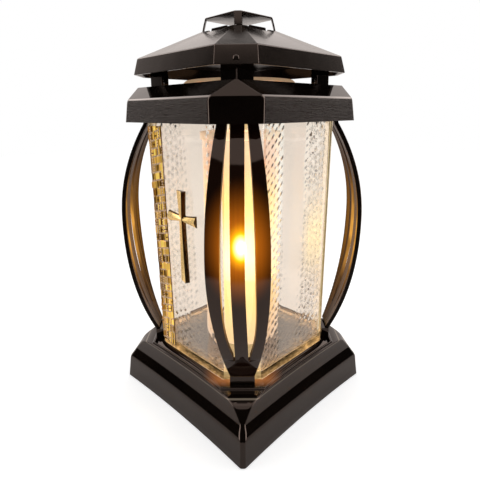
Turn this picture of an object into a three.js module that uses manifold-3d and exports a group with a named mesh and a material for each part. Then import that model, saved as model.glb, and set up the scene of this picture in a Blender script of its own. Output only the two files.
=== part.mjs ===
// Grave lantern: a square base, a pressed glass body with cut corners, four bowed ribs,
// a two-tier vented lid with a small chimney cap, and a tall refill candle inside.
// Millimetres, +Z up. The origin is the middle of the base's underside.
// The decorated glass face looks along -Y. The ribs stand on the four corners.

import * as THREE from 'three';
import { mergeVertices } from 'three/addons/utils/BufferGeometryUtils.js';
import Module from 'manifold-3d';

const wasm = await Module();
wasm.setup();

// Clearances

const seatGap = 0.3; // between pieces that rest on each other
const sideGap = 0.4; // round a piece that plugs into another
const cutOverrun = 1; // how far a cutting tool passes the face that it cuts

// Base

const bandDraft = 2.5; // how much each side leans in over the lower band
const baseSideBow = 2.4; // how far the middle of each side is drawn in at the floor
const baseWall = 3;
const bandHeight = 22; // the plain lower band
const coveRun = 6.9; // from the ledge out to the top of the band
const bandCornerCut = 1.2; // half the width of the blunted vertical edge
const ledgeHeight = 44;
const ledgeWidth = 9.3; // from the glass out to the ledge
const ledgeCornerCut = 18.2; // half the width of the cut corner at the ledge
const ledgeBeadWidth = 1.2;
const ledgeBeadHeight = 0.8;
const ledgeGrooveWidth = 0.9;
const plateauHeight = 46.2; // where the base meets the glass
const seatDepth = 4;
const deckThickness = 2.8;

// Each row of the hollow moulding above the band, from its crease up to the ledge:
// the share of the rise, of the width still left to lose, and of the corner's cut.
const coveShares = [
  { rise: 0, out: 1, cut: 0.07 },
  { rise: 0.11, out: 0.74, cut: 0.13 },
  { rise: 0.41, out: 0.22, cut: 0.22 },
  { rise: 0.73, out: 0.04, cut: 0.34 },
  { rise: 0.86, out: 0.02, cut: 0.52 },
  { rise: 0.94, out: 0.01, cut: 0.7 },
  { rise: 1, out: 0, cut: 1 },
];
const coveRowsInside = 4; // the lower rows that the hollow inside follows too

// Rib sockets on the base

const socketHeight = 54.4;
const socketWidth = 19.2;
const socketDepth = 7;
const socketInset = 1.5; // from the ledge's cut corner to the socket's outer face
const tenonWidth = 13;
const tenonThickness = 2.4;
const tenonDepth = 7;

// Glass body

const glassBottomHalfWidth = 62.2;
const glassTopHalfWidth = 64.9;
const glassCornerCut = 15.5;
const glassWall = 4;
const glassFloor = 6;
const glassHeight = 208;
const sealThickness = 1;
const sealWidth = 6;

// Ornaments on the glass face that looks along -Y

const stripWidth = 18.5;
const stripThickness = 1.2;
const stripEdgeInset = 0.3; // from the edge of the face
const stripFootRise = 3.4; // from the plateau up to the strip
const stripHeadDrop = 9; // from the glass rim down to the strip
const crossHeight = 76;
const crossSpan = 34.8;
const crossEndWidth = 10;
const crossWaistWidth = 7;
const crossRidge = 3.6;
const crossBackThickness = 0.8;
const crossOffset = -1; // sideways from the middle of the face
const crossFootHeight = 117.7;
const crossBarHeight = 171;

// Ribs

const ribWall = 3.2;
const ribCrownRadius = 65; // the rib's section is a shallow arc
const ribBelly = 24; // how far the rib stands out beyond its head
const ribBellyHeight = 162;
const ribHeadGap = 5.5; // between the rib's head and the glass
const ribFootProud = 0.4; // how far the rib's foot stands out from its socket
const ribHeadHeight = 245; // above it the rib goes straight up under the lid
const ribReachPower = 2.12;
const ribBellyWidth = 44.8;
const ribWidestHeight = 150;
const ribFootWidth = 19;
const ribHeadWidth = 28.6;
const ribWidthPower = 2;
const ribStations = 18;
const ribSectionSteps = 6;
const slitBarWidth = 9.8; // the bar left between the two slits
const slitWidth = 7.4;
const slitWidestHeight = 135;
const slitFootHeight = 76.5;
const slitHeadReach = 130; // how far above its widest the slit would close
const slitFootPower = 2.6;
const slitHeadPower = 2.2;
const slitEndMargin = 3.2; // solid rib left above the slits
const slitSteps = 9;

// Ring on the rim of the glass

const ringThickness = 2.5;
const ringOverhang = 2.6; // from the glass out to the ring's edge
const ringCornerGap = 5.6; // between the ring's corners and the lid's skirt
const ringLipDepth = 7;
const ringLipWall = 2.8;

// Lower tier of the lid

const lidWall = 2.5;
const skirtBottom = 245.7;
const skirtHeight = 17.2;
const skirtGap = 8.5; // between the ring and the skirt
const skirtDraft = 1.4;
const skirtBottomCut = 17.4; // half the width of each cut corner
const skirtTopCut = 17.8;
const lidSlopeRise = 11.1;
const lidSlopeRun = 15.9;
const rimCornerCut = 0.5;
const lidDeckDrop = 5.1; // from the upper rim down to the deck
const smokeHoleRadius = 36;
const seatWallOffset = 3; // from the ring's opening out to the lid's inner wall
const lipDepth = 4.8;
const lipCornerCut = 12;

// Angle posts between the tiers

const postInset = 4.4; // from the roof's inner corner to the post's edge
const postArm = 16.5;
const postThickness = 2.6;

// Upper tier of the lid

const roofWall = 2.4;
const roofBottom = 283;
const roofSkirtHeight = 12.7;
const roofOverhang = 9.1; // from the lower tier's rim out to the roof's eave
const roofDraft = 2.8;
const roofBottomCut = 14.3; // half the width of each cut corner
const roofTopCut = 13.7;
const roofRise = 21.3;
const crownHalfWidth = 23.3; // the rim of the opening at the top
const crownCut = 2.95;
const crownDip = 3.1; // how far the rim drops between the legs
const crownDipShare = 0.56; // the dip's flat part as a share of each side
const crownWall = 1.1; // from the crown's rim in to the opening
const ventCut = 4;
const pinHeight = 286.8;
const pinHeadRadius = 2.1;
const pinHeadThickness = 0.9;
const pinShankRadius = 1.2;
const pinShankLength = 4.5;
const pinHoleRadius = 1.5;
const pinSides = 16;

// Chimney collar and cap

const collarWall = 1.5;
const collarTongueRise = 4.6; // above the dip of the crown
const collarTongueFootWidth = 21;
const collarTongueHeadWidth = 17.6;
const collarFlangeOffset = 3.2;
const collarFlangeCut = 5.4;
const collarFlangeThickness = 1.5;
const collarFlangeDrop = 4.6; // from the dip of the crown to the flange's upper face
const capHeight = 326.2;
const capThickness = 1.6;
const capPeak = 2.7;
const capHalfWidth = 21.1;
const capCut = 2.44;
const legWidth = 5.6;
const legThickness = 1.3;
const legFootInset = 0.2; // from the crown's corner to the leg's outer face

// Heat shield under the roof

const shieldTop = 281.1;
const shieldTopRadius = 44.7;
const shieldRimRadius = 47.3;
const shieldRimDrop = 4.4;
const shieldSheet = 0.8;
const shieldLegs = 4;
const shieldLegWidth = 8;
const shieldSides = 48;

// Refill candle

const cupRadius = 32.5;
const cupHeight = 186;
const cupWall = 1.2;
const cupFloor = 1.5;
const cupBlend = 3;
const waxTop = 112;
const waxGap = 0.4;
const waxDish = 1.6;
const wickRadius = 1.3;
const wickBoreRadius = 1.7;
const wickStickOut = 9;
const sustainerRadius = 10;
const sustainerThickness = 0.6;
const tinSkirtDepth = 5;
const tinSheet = 0.8;
const tinOpeningRadius = 16;
const candleSides = 40;

// Heights and widths that follow

const seatFloor = plateauHeight - seatDepth;
const deckUnderside = seatFloor - deckThickness;
const glassFoot = seatFloor + seatGap + sealThickness + seatGap;
const glassRim = glassFoot + glassHeight;
const ringBottom = glassRim + seatGap;
const ringTop = ringBottom + ringThickness;
const ribFootHeight = socketHeight + seatGap;
const ribHeadEnd = ringBottom - seatGap;
const skirtTop = skirtBottom + skirtHeight;
const lidRim = skirtTop + lidSlopeRise;
const lidDeckTop = lidRim - lidDeckDrop;
const lidDeckUnder = lidDeckTop - lidWall;
const roofEave = roofBottom + roofSkirtHeight;
const crownHeight = roofEave + roofRise;
const crownDipHeight = crownHeight - crownDip;
const cupFoot = glassFoot + glassFloor + seatGap;
const cupRim = cupFoot + cupHeight;

// Widths that follow, and reaches: from the axis to the middle of a cut corner

function reachOf(halfWidth, cutHalf) {
  return Math.SQRT2 * halfWidth - cutHalf;
}

const ledgeHalfWidth = glassBottomHalfWidth + ledgeWidth;
const bandTopHalfWidth = ledgeHalfWidth + coveRun;
const baseHalfWidth = bandTopHalfWidth + bandDraft;
const socketReach = reachOf(ledgeHalfWidth, ledgeCornerCut) - socketInset;
const ribFootReach = socketReach + ribFootProud;
const ribHeadReach = reachOf(glassTopHalfWidth, glassCornerCut) + ribHeadGap;
const ribBellyReach = ribHeadReach + ribBelly;
const ringHalfWidth = glassTopHalfWidth + ringOverhang;
const skirtBottomHalfWidth = ringHalfWidth + skirtGap + lidWall;
const skirtTopHalfWidth = skirtBottomHalfWidth - skirtDraft;
const lidRimHalfWidth = skirtTopHalfWidth - lidSlopeRun;
const roofBottomHalfWidth = lidRimHalfWidth + roofOverhang;
const roofTopHalfWidth = roofBottomHalfWidth - roofDraft;
const ventHalfWidth = crownHalfWidth - crownWall;
const ventReach = reachOf(ventHalfWidth, ventCut);
const crownReach = reachOf(crownHalfWidth, crownCut);
const roofBottomReach = reachOf(roofBottomHalfWidth, roofBottomCut);
const roofTopReach = reachOf(roofTopHalfWidth, roofTopCut);
const skirtBottomReach = reachOf(skirtBottomHalfWidth, skirtBottomCut);
const skirtTopReach = reachOf(skirtTopHalfWidth, skirtTopCut);
const ringCornerReach = skirtBottomReach - lidWall - ringCornerGap;
const postReach = roofTopReach - roofWall - postInset;
const capReach = reachOf(capHalfWidth, capCut);
const legFootReach = crownReach - legFootInset;

// Materials

function plastic(color, roughness) {
  return new THREE.MeshStandardMaterial({ color, roughness, metalness: 0 });
}

function metal(color, roughness) {
  return new THREE.MeshStandardMaterial({ color, roughness, metalness: 1 });
}

function clearGlass() {
  const look = { color: 0xece4d6, roughness: 0.08, metalness: 0, transparent: true, opacity: 0.35 };
  return new THREE.MeshStandardMaterial(look);
}

const darkPlastic = plastic(0x1c1614, 0.22);
const ribPlastic = plastic(0x2a1408, 0.15);
const sealRubber = plastic(0xd9d2c4, 0.7);
const cupPlastic = plastic(0xf6e7c4, 0.35);
const waxBody = plastic(0xf4e6c2, 0.6);
const wickThread = plastic(0x3a3028, 0.9);
const goldMetal = metal(0xc9982f, 0.3);
const goldTin = metal(0xc2a36a, 0.35);
const plainTin = metal(0xb9b9b4, 0.4);

// Shapes

// A level ring of points round the axis: a square with cut corners. The reach is the
// distance from the axis to the middle of a cut corner. The bow draws the sides in.
function cutSquare(halfWidth, reach, height, { bow = 0, perSide = 1, perCorner = 1 } = {}) {
  const cutHalf = Math.SQRT2 * halfWidth - reach;
  const sideHalf = halfWidth - Math.SQRT2 * cutHalf;
  const points = [];
  for (let quarter = 0; quarter < 4; quarter += 1) {
    const turn = (quarter * Math.PI) / 2;
    const across = new THREE.Vector3(Math.cos(turn), Math.sin(turn), 0);
    const along = new THREE.Vector3(-Math.sin(turn), Math.cos(turn), 0);
    const place = (out, side) => new THREE.Vector3(0, 0, height)
      .addScaledVector(across, out)
      .addScaledVector(along, side);
    for (let step = 0; step <= perSide; step += 1) {
      const share = (2 * step) / perSide - 1;
      points.push(place(halfWidth - bow * (1 - share * share), sideHalf * share));
    }
    const cornerStart = place(halfWidth, sideHalf);
    const cornerEnd = place(sideHalf, halfWidth);
    for (let step = 1; step < perCorner; step += 1) {
      points.push(cornerStart.clone().lerp(cornerEnd, step / perCorner));
    }
  }
  return points;
}

// The same ring with its corners given by half the width of the cut.
function cutSquareByCut(halfWidth, cutHalf, height, options) {
  return cutSquare(halfWidth, reachOf(halfWidth, cutHalf), height, options);
}

// A circle with its points at the same angles as those of another ring.
function roundRing(radius, height, likeRing) {
  return likeRing.map((point) => {
    const angle = Math.atan2(point.y, point.x);
    return new THREE.Vector3(radius * Math.cos(angle), radius * Math.sin(angle), height);
  });
}

// Joins rings of equal counts into a skin. The rings go up on the outside and down on
// the inside. An endless skin joins its last ring to its first; the other kind is capped.
function loft(rings, endless = false) {
  const count = rings[0].length;
  const positions = rings.flat().flatMap((point) => [point.x, point.y, point.z]);
  const indices = [];
  const bands = endless ? rings.length : rings.length - 1;
  for (let band = 0; band < bands; band += 1) {
    const lower = band * count;
    const upper = ((band + 1) % rings.length) * count;
    for (let i = 0; i < count; i += 1) {
      const next = (i + 1) % count;
      indices.push(lower + i, lower + next, upper + next);
      indices.push(lower + i, upper + next, upper + i);
    }
  }
  if (!endless) {
    const last = (rings.length - 1) * count;
    for (const [a, b, c] of flatCap(rings[0])) indices.push(a, c, b);
    for (const [a, b, c] of flatCap(rings.at(-1))) indices.push(last + a, last + b, last + c);
  }
  const geometry = new THREE.BufferGeometry();
  geometry.setAttribute('position', new THREE.Float32BufferAttribute(positions, 3));
  geometry.setIndex(indices);
  geometry.computeVertexNormals();
  return geometry;
}

// Triangles of a ring that runs anticlockwise seen from above.
function flatCap(ring) {
  const outline = ring.map((point) => new THREE.Vector2(point.x, point.y));
  return THREE.ShapeUtils.triangulateShape(outline, []);
}

function toSolid(geometry) {
  const bare = geometry.clone();
  bare.deleteAttribute('normal');
  bare.deleteAttribute('uv');
  const merged = mergeVertices(bare);
  const vertProperties = new Float32Array(merged.attributes.position.array);
  const triVerts = new Uint32Array(merged.index.array);
  return new wasm.Manifold(new wasm.Mesh({ numProp: 3, vertProperties, triVerts }));
}

function fromSolid(solid) {
  const mesh = solid.getMesh();
  const geometry = new THREE.BufferGeometry();
  geometry.setAttribute('position', new THREE.Float32BufferAttribute(mesh.vertProperties, 3));
  geometry.setIndex(new THREE.Uint32BufferAttribute(mesh.triVerts, 1));
  geometry.computeVertexNormals();
  return geometry;
}

function joined(first, ...others) {
  const sum = others.reduce((solid, other) => solid.add(toSolid(other)), toSolid(first));
  return fromSolid(sum);
}

function cutFrom(body, ...tools) {
  const rest = tools.reduce((solid, tool) => solid.subtract(toSolid(tool)), toSolid(body));
  return fromSolid(rest);
}

// A box given by its lowest and highest corners.
function block(low, high) {
  const size = high.map((value, axis) => value - low[axis]);
  const middle = high.map((value, axis) => (value + low[axis]) / 2);
  return new THREE.BoxGeometry(...size).translate(...middle);
}

// An outline drawn in the Y-Z plane and pushed along +X from one place to another.
function plateAlongX(outline, from, to) {
  const shape = new THREE.Shape(outline);
  const geometry = new THREE.ExtrudeGeometry(shape, { depth: to - from, bevelEnabled: false });
  const basis = new THREE.Matrix4().makeBasis(
    new THREE.Vector3(0, 1, 0),
    new THREE.Vector3(0, 0, 1),
    new THREE.Vector3(1, 0, 0),
  );
  return geometry.applyMatrix4(basis).translate(from, 0, 0);
}

// A turned piece: the profile's points are pairs of radius and height.
function turned(profile, sides) {
  const points = profile.map(([radius, height]) => new THREE.Vector2(radius, height));
  return new THREE.LatheGeometry(points, sides).rotateX(Math.PI / 2);
}

// The four copies of a shape that is drawn on the +X axis, turned to the corners.
const cornerTurn = Math.PI / 4;
const cornerNames = ['right_back', 'left_back', 'left_front', 'right_front'];

function atCorners(geometry) {
  return cornerNames.map((name, index) => {
    const turn = cornerTurn + (index * Math.PI) / 2;
    return geometry.clone().rotateZ(turn);
  });
}

const lantern = new THREE.Group();

function addPiece(name, geometry, material, turn = 0) {
  const mesh = new THREE.Mesh(geometry, material);
  mesh.name = name;
  mesh.rotation.z = turn;
  lantern.add(mesh);
}

function addAtCorners(prefix, geometry, material) {
  cornerNames.forEach((name, index) => {
    addPiece(`${prefix}_${name}`, geometry, material, cornerTurn + (index * Math.PI) / 2);
  });
}

// Base: a hollow moulding with a recess for the glass and four rib sockets

function coveRow(shares, inset) {
  const height = bandHeight + shares.rise * (ledgeHeight - bandHeight);
  const halfWidth = ledgeHalfWidth + shares.out * (bandTopHalfWidth - ledgeHalfWidth);
  const reach = Math.SQRT2 * halfWidth - shares.cut * ledgeCornerCut;
  const bow = baseSideBow * (1 - height / ledgeHeight);
  return cutSquare(halfWidth - inset, reach - inset, height, { bow, perSide: 6 });
}

function floorRing(inset) {
  const reach = Math.SQRT2 * baseHalfWidth - bandCornerCut;
  const options = { bow: baseSideBow, perSide: 6 };
  return cutSquare(baseHalfWidth - inset, reach - inset, 0, options);
}

function plateauRing(inset, height) {
  const reach = Math.SQRT2 * ledgeHalfWidth - ledgeCornerCut;
  return cutSquare(ledgeHalfWidth - inset, reach - inset, height, { perSide: 6 });
}

function baseRings() {
  const outside = coveShares.map((shares) => coveRow(shares, 0));
  const inside = coveShares.slice(0, coveRowsInside).map((shares) => coveRow(shares, baseWall));
  const deckRing = inside.at(-1).map((point) => point.clone().setZ(deckUnderside));
  const beadTop = ledgeHeight + ledgeBeadHeight;
  const beadInset = ledgeBeadWidth + ledgeGrooveWidth;
  const seatHalfWidth = glassBottomHalfWidth + sideGap;
  const seatReach = Math.SQRT2 * glassBottomHalfWidth - glassCornerCut + sideGap;
  return [
    deckRing,
    ...inside.reverse(),
    floorRing(baseWall),
    floorRing(0),
    ...outside,
    plateauRing(ledgeBeadWidth / 4, beadTop),
    plateauRing(ledgeBeadWidth, beadTop),
    plateauRing(beadInset, ledgeHeight),
    cutSquare(seatHalfWidth, seatReach, plateauHeight, { perSide: 6 }),
    cutSquare(seatHalfWidth, seatReach, seatFloor, { perSide: 6 }),
  ];
}

function baseShell() {
  const socket = block(
    [socketReach - socketDepth, -socketWidth / 2, ledgeHeight - ledgeBeadHeight],
    [socketReach, socketWidth / 2, socketHeight],
  );
  const pocketReach = tenonFace(ribFootReach) + sideGap;
  const pocket = block(
    [pocketReach - tenonThickness - 2 * sideGap, -tenonWidth / 2 - sideGap, tenonFoot() - seatGap],
    [pocketReach, tenonWidth / 2 + sideGap, socketHeight + cutOverrun],
  );
  const body = joined(loft(baseRings()), ...atCorners(socket));
  return cutFrom(body, ...atCorners(pocket));
}

// Glass: its faces lean out a little towards the rim

function glassHalfWidth(height) {
  const share = (height - glassFoot) / glassHeight;
  return glassBottomHalfWidth + share * (glassTopHalfWidth - glassBottomHalfWidth);
}

function glassRing(inset, height) {
  const halfWidth = glassHalfWidth(height);
  const reach = Math.SQRT2 * halfWidth - glassCornerCut;
  return cutSquare(halfWidth - inset, reach - inset, height);
}

function glassBody() {
  return loft([
    glassRing(0, glassFoot),
    glassRing(0, glassRim),
    glassRing(glassWall, glassRim),
    glassRing(glassWall, glassFoot + glassFloor),
  ]);
}

function glassSeal() {
  const low = seatFloor + seatGap;
  const high = low + sealThickness;
  const ring = (inset, height) => glassRing(inset, glassFoot)
    .map((point) => point.setZ(height));
  const rings = [ring(0, low), ring(0, high), ring(sealWidth, high), ring(sealWidth, low)];
  return loft(rings, true);
}

// Ornaments: both follow the lean of the glass face that looks along -Y

function goldStrip() {
  const row = (height) => {
    const face = -glassHalfWidth(height) - seatGap;
    const edge = -(glassHalfWidth(height) - Math.SQRT2 * glassCornerCut) + stripEdgeInset;
    return [
      new THREE.Vector3(edge, face - stripThickness, height),
      new THREE.Vector3(edge + stripWidth, face - stripThickness, height),
      new THREE.Vector3(edge + stripWidth, face, height),
      new THREE.Vector3(edge, face, height),
    ];
  };
  return loft([row(plateauHeight + stripFootRise), row(glassRim - stripHeadDrop)]);
}

// One bar of the cross: a low ridge that widens towards both ends. Drawn along +Z with
// its back on the X-Z plane and its ridge towards -Y.
function crossBar(foot, middle, head) {
  const row = (width, height) => [
    new THREE.Vector3(-width / 2, -crossBackThickness, height),
    new THREE.Vector3(0, -crossRidge, height),
    new THREE.Vector3(width / 2, -crossBackThickness, height),
    new THREE.Vector3(width / 2, 0, height),
    new THREE.Vector3(-width / 2, 0, height),
  ];
  return loft([row(crossEndWidth, foot), row(crossWaistWidth, middle), row(crossEndWidth, head)]);
}

function goldCross() {
  const headHeight = crossFootHeight + crossHeight;
  const upright = crossBar(crossFootHeight - crossBarHeight, 0, headHeight - crossBarHeight);
  const arm = crossBar(-crossSpan / 2, 0, crossSpan / 2).rotateY(Math.PI / 2);
  const lean = Math.atan((glassTopHalfWidth - glassBottomHalfWidth) / glassHeight);
  const face = -glassHalfWidth(crossBarHeight) - seatGap;
  return joined(upright, arm).rotateX(lean).translate(crossOffset, face, crossBarHeight);
}

// Ribs, drawn on the +X axis

// How far a value has fallen from its greatest, as a power of the way to its end.
function fallShare(height, peak, end, power) {
  return Math.abs((height - peak) / (end - peak)) ** power;
}

function ribReach(height) {
  const low = height < ribBellyHeight;
  const end = low ? ribFootHeight : ribHeadHeight;
  const endReach = low ? ribFootReach : ribHeadReach;
  const fall = Math.min(1, fallShare(height, ribBellyHeight, end, ribReachPower));
  return ribBellyReach - (ribBellyReach - endReach) * fall;
}

function ribWidth(height) {
  const low = height < ribWidestHeight;
  const end = low ? ribFootHeight : ribHeadHeight;
  const endWidth = low ? ribFootWidth : ribHeadWidth;
  const fall = fallShare(height, ribWidestHeight, end, ribWidthPower);
  return ribBellyWidth - (ribBellyWidth - endWidth) * fall;
}

function ribSection(height) {
  const reach = ribReach(height);
  const halfWidth = ribWidth(height) / 2;
  const outer = [];
  for (let step = 0; step <= ribSectionSteps; step += 1) {
    const side = halfWidth * ((2 * step) / ribSectionSteps - 1);
    const crown = ribCrownRadius - Math.sqrt(ribCrownRadius ** 2 - side ** 2);
    outer.push(new THREE.Vector3(reach - crown, side, height));
  }
  const shift = new THREE.Vector3(-ribWall, 0, 0);
  const inner = outer.map((point) => point.clone().add(shift)).reverse();
  return [...outer, ...inner];
}

// The outline of one slit: a straight inner edge along the middle bar, a bowed outer one.
function slitOutline() {
  const inner = slitBarWidth / 2;
  const head = ribHeadEnd - slitEndMargin;
  const points = [new THREE.Vector2(inner, head), new THREE.Vector2(inner, slitFootHeight)];
  for (let step = 1; step <= slitSteps; step += 1) {
    const height = slitFootHeight + (head - slitFootHeight) * (step / slitSteps);
    const low = height < slitWidestHeight;
    const end = low ? slitFootHeight : slitWidestHeight + slitHeadReach;
    const power = low ? slitFootPower : slitHeadPower;
    const width = slitWidth * (1 - fallShare(height, slitWidestHeight, end, power));
    points.push(new THREE.Vector2(inner + width, height));
  }
  return points;
}

// A tenon's outer face lies inside the rib's own thickness.
function tenonFace(endReach) {
  return endReach - (ribWall - tenonThickness) / 2;
}

function tenonFoot() {
  return ribFootHeight - tenonDepth;
}

function tenon(endReach, low, high) {
  return block(
    [tenonFace(endReach) - tenonThickness, -tenonWidth / 2, low],
    [tenonFace(endReach), tenonWidth / 2, high],
  );
}

function rib() {
  const rings = [];
  for (let station = 0; station <= ribStations; station += 1) {
    const share = station / ribStations;
    rings.push(ribSection(ribFootHeight + (ribHeadEnd - ribFootHeight) * share));
  }
  const nearX = Math.min(ribFootReach, ribHeadReach) - 2 * ribWall;
  const farX = ribBellyReach + cutOverrun;
  const slit = plateAlongX(slitOutline(), nearX - cutOverrun, farX);
  const mirrored = slitOutline().map((point) => new THREE.Vector2(-point.x, point.y));
  const otherSlit = plateAlongX(mirrored, nearX - cutOverrun, farX);
  const bow = cutFrom(loft(rings), slit, otherSlit);
  const foot = tenon(ribFootReach, tenonFoot(), ribFootHeight + tenonThickness);
  const head = tenon(ribHeadReach, ribHeadEnd - slitEndMargin / 2, ringTop - seatGap);
  return joined(bow, foot, head);
}

// Ring on the glass rim: it holds the heads of the ribs and carries the lid

function ringOpeningHalfWidth() {
  return glassTopHalfWidth - glassWall - sideGap - ringLipWall;
}

function topRing() {
  const lipReach = Math.SQRT2 * glassTopHalfWidth - glassCornerCut - glassWall - sideGap;
  const lipHalfWidth = ringOpeningHalfWidth() + ringLipWall;
  const lipFoot = ringBottom - ringLipDepth;
  const opening = (height) => cutSquare(ringOpeningHalfWidth(), lipReach - ringLipWall, height);
  const body = loft([
    cutSquare(ringHalfWidth, ringCornerReach, ringBottom),
    cutSquare(ringHalfWidth, ringCornerReach, ringTop),
    opening(ringTop),
    opening(lipFoot),
    cutSquare(lipHalfWidth, lipReach, lipFoot),
    cutSquare(lipHalfWidth, lipReach, ringBottom),
  ], true);
  const slotFace = tenonFace(ribHeadReach) + sideGap;
  const slot = block(
    [slotFace - tenonThickness - 2 * sideGap, -tenonWidth / 2 - sideGap, ringBottom - cutOverrun],
    [slotFace, tenonWidth / 2 + sideGap, ringTop + cutOverrun],
  );
  return cutFrom(body, ...atCorners(slot));
}

// Lower tier of the lid

function lidShell() {
  const fine = { perSide: 4, perCorner: 2 };
  const innerBottom = skirtBottomHalfWidth - lidWall;
  const innerTop = skirtTopHalfWidth - lidWall;
  const innerTopCut = Math.SQRT2 * innerTop - (skirtTopReach - lidWall);
  const innerTopHeight = skirtTop - lidWall / 2;
  const rimInner = lidRimHalfWidth - lidWall;
  const climb = (lidDeckUnder - innerTopHeight) / lidSlopeRise;
  const deckHalfWidth = innerTop + climb * (rimInner - innerTop);
  const deckCut = innerTopCut * (1 - climb);
  const rim = (halfWidth, height) => cutSquareByCut(halfWidth, rimCornerCut, height, fine);
  return loft([
    cutSquare(skirtBottomHalfWidth, skirtBottomReach, skirtBottom, fine),
    cutSquare(skirtTopHalfWidth, skirtTopReach, skirtTop, fine),
    rim(lidRimHalfWidth, lidRim),
    rim(rimInner, lidRim),
    rim(rimInner, lidDeckTop),
    roundRing(smokeHoleRadius, lidDeckTop, rim(rimInner, 0)),
    roundRing(smokeHoleRadius, lidDeckUnder, rim(rimInner, 0)),
    cutSquareByCut(deckHalfWidth, deckCut, lidDeckUnder, fine),
    cutSquareByCut(innerTop, innerTopCut, innerTopHeight, fine),
    cutSquare(innerBottom, skirtBottomReach - lidWall, skirtBottom, fine),
  ], true);
}

// The wall under the deck that stands on the ring, with a lip that drops into it.
function lidSeatWall() {
  const lipOuter = ringOpeningHalfWidth() - sideGap;
  const wallOuter = ringOpeningHalfWidth() + seatWallOffset;
  const seat = ringTop + seatGap;
  const overlap = lidWall / 2;
  const ring = (halfWidth, height) => cutSquareByCut(halfWidth, lipCornerCut, height);
  return loft([
    ring(lipOuter, seat - lipDepth),
    ring(lipOuter, seat),
    ring(wallOuter, seat),
    ring(wallOuter, lidDeckUnder + overlap),
    ring(wallOuter - lidWall, lidDeckUnder + overlap),
    ring(wallOuter - lidWall, seat + lidWall),
    ring(lipOuter - lidWall, seat + lidWall),
    ring(lipOuter - lidWall, seat - lipDepth),
  ], true);
}

function lidLower() {
  return joined(lidShell(), lidSeatWall());
}

// Upper tier of the lid

// A ring with the crown's dip in the middle of each side, from all four sides' dips.
function roofRing(halfWidth, reach, height, dip) {
  const cutHalf = Math.SQRT2 * halfWidth - reach;
  const sideHalf = halfWidth - Math.SQRT2 * cutHalf;
  const points = [];
  for (let quarter = 0; quarter < 4; quarter += 1) {
    const turn = (quarter * Math.PI) / 2;
    for (const share of [-1, -crownDipShare, crownDipShare, 1]) {
      const low = Math.abs(share) < 1 ? dip : 0;
      const point = new THREE.Vector3(halfWidth, sideHalf * share, height - low);
      points.push(point.applyAxisAngle(new THREE.Vector3(0, 0, 1), turn));
    }
  }
  return points;
}

function roofInnerRings(drop) {
  const innerEave = roofEave - roofWall;
  return [
    roofRing(ventHalfWidth, ventReach, crownDipHeight - roofWall - drop, 0),
    roofRing(roofTopHalfWidth - roofWall, roofTopReach - roofWall, innerEave - drop, 0),
    roofRing(roofBottomHalfWidth - roofWall, roofBottomReach - roofWall, roofBottom, 0),
  ];
}

function roofUpper() {
  const shell = loft([
    roofRing(roofBottomHalfWidth, roofBottomReach, roofBottom, 0),
    roofRing(roofTopHalfWidth, roofTopReach, roofEave, 0),
    roofRing(crownHalfWidth, crownReach, crownHeight, crownDip),
    roofRing(ventHalfWidth, ventReach, crownHeight, crownDip),
    ...roofInnerRings(0),
  ], true);
  const holeLength = roofBottomReach - roofTopReach + roofWall + 2 * cutOverrun;
  const hole = new THREE.CylinderGeometry(pinHoleRadius, pinHoleRadius, holeLength, pinSides)
    .rotateZ(Math.PI / 2)
    .translate(roofTopReach, 0, pinHeight);
  return cutFrom(shell, ...atCorners(hole));
}

// The skirt's cut corners lean, so the pins' place is worked out at their own height.
function roofSkirtReach(height) {
  const share = (height - roofBottom) / roofSkirtHeight;
  return roofBottomReach + share * (roofTopReach - roofBottomReach);
}

function cornerPin() {
  const headFace = roofSkirtReach(pinHeight - pinHeadRadius) + seatGap;
  const profile = [
    [0, -pinShankLength],
    [pinShankRadius, -pinShankLength],
    [pinShankRadius, 0],
    [pinHeadRadius, 0],
    [pinHeadRadius, pinHeadThickness / 2],
    [pinHeadRadius / 2, pinHeadThickness],
    [0, pinHeadThickness],
  ];
  return turned(profile, pinSides).rotateY(Math.PI / 2).translate(headFace, 0, pinHeight);
}

// Angle post: two arms whose edge points out at a corner, cut to the roof's underside.
// It is drawn with its edge on the line between +X and +Y, then turned onto the +X axis.
function anglePost() {
  const corner = postReach / Math.SQRT2;
  const low = lidDeckTop + seatGap;
  const firstArm = block(
    [corner - postArm, corner - postThickness, low],
    [corner, corner, crownHeight],
  );
  const secondArm = block(
    [corner - postThickness, corner - postArm, low],
    [corner, corner, crownHeight],
  );
  const [vent, eave, foot] = roofInnerRings(seatGap);
  const floor = foot.map((point) => point.clone().setZ(lidDeckTop));
  const under = toSolid(loft([floor, foot, eave, vent]));
  const angle = toSolid(firstArm).add(toSolid(secondArm));
  return fromSolid(angle.intersect(under)).rotateZ(-cornerTurn);
}

// Chimney collar: a square ring in the roof's opening with a tongue on each side

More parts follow.
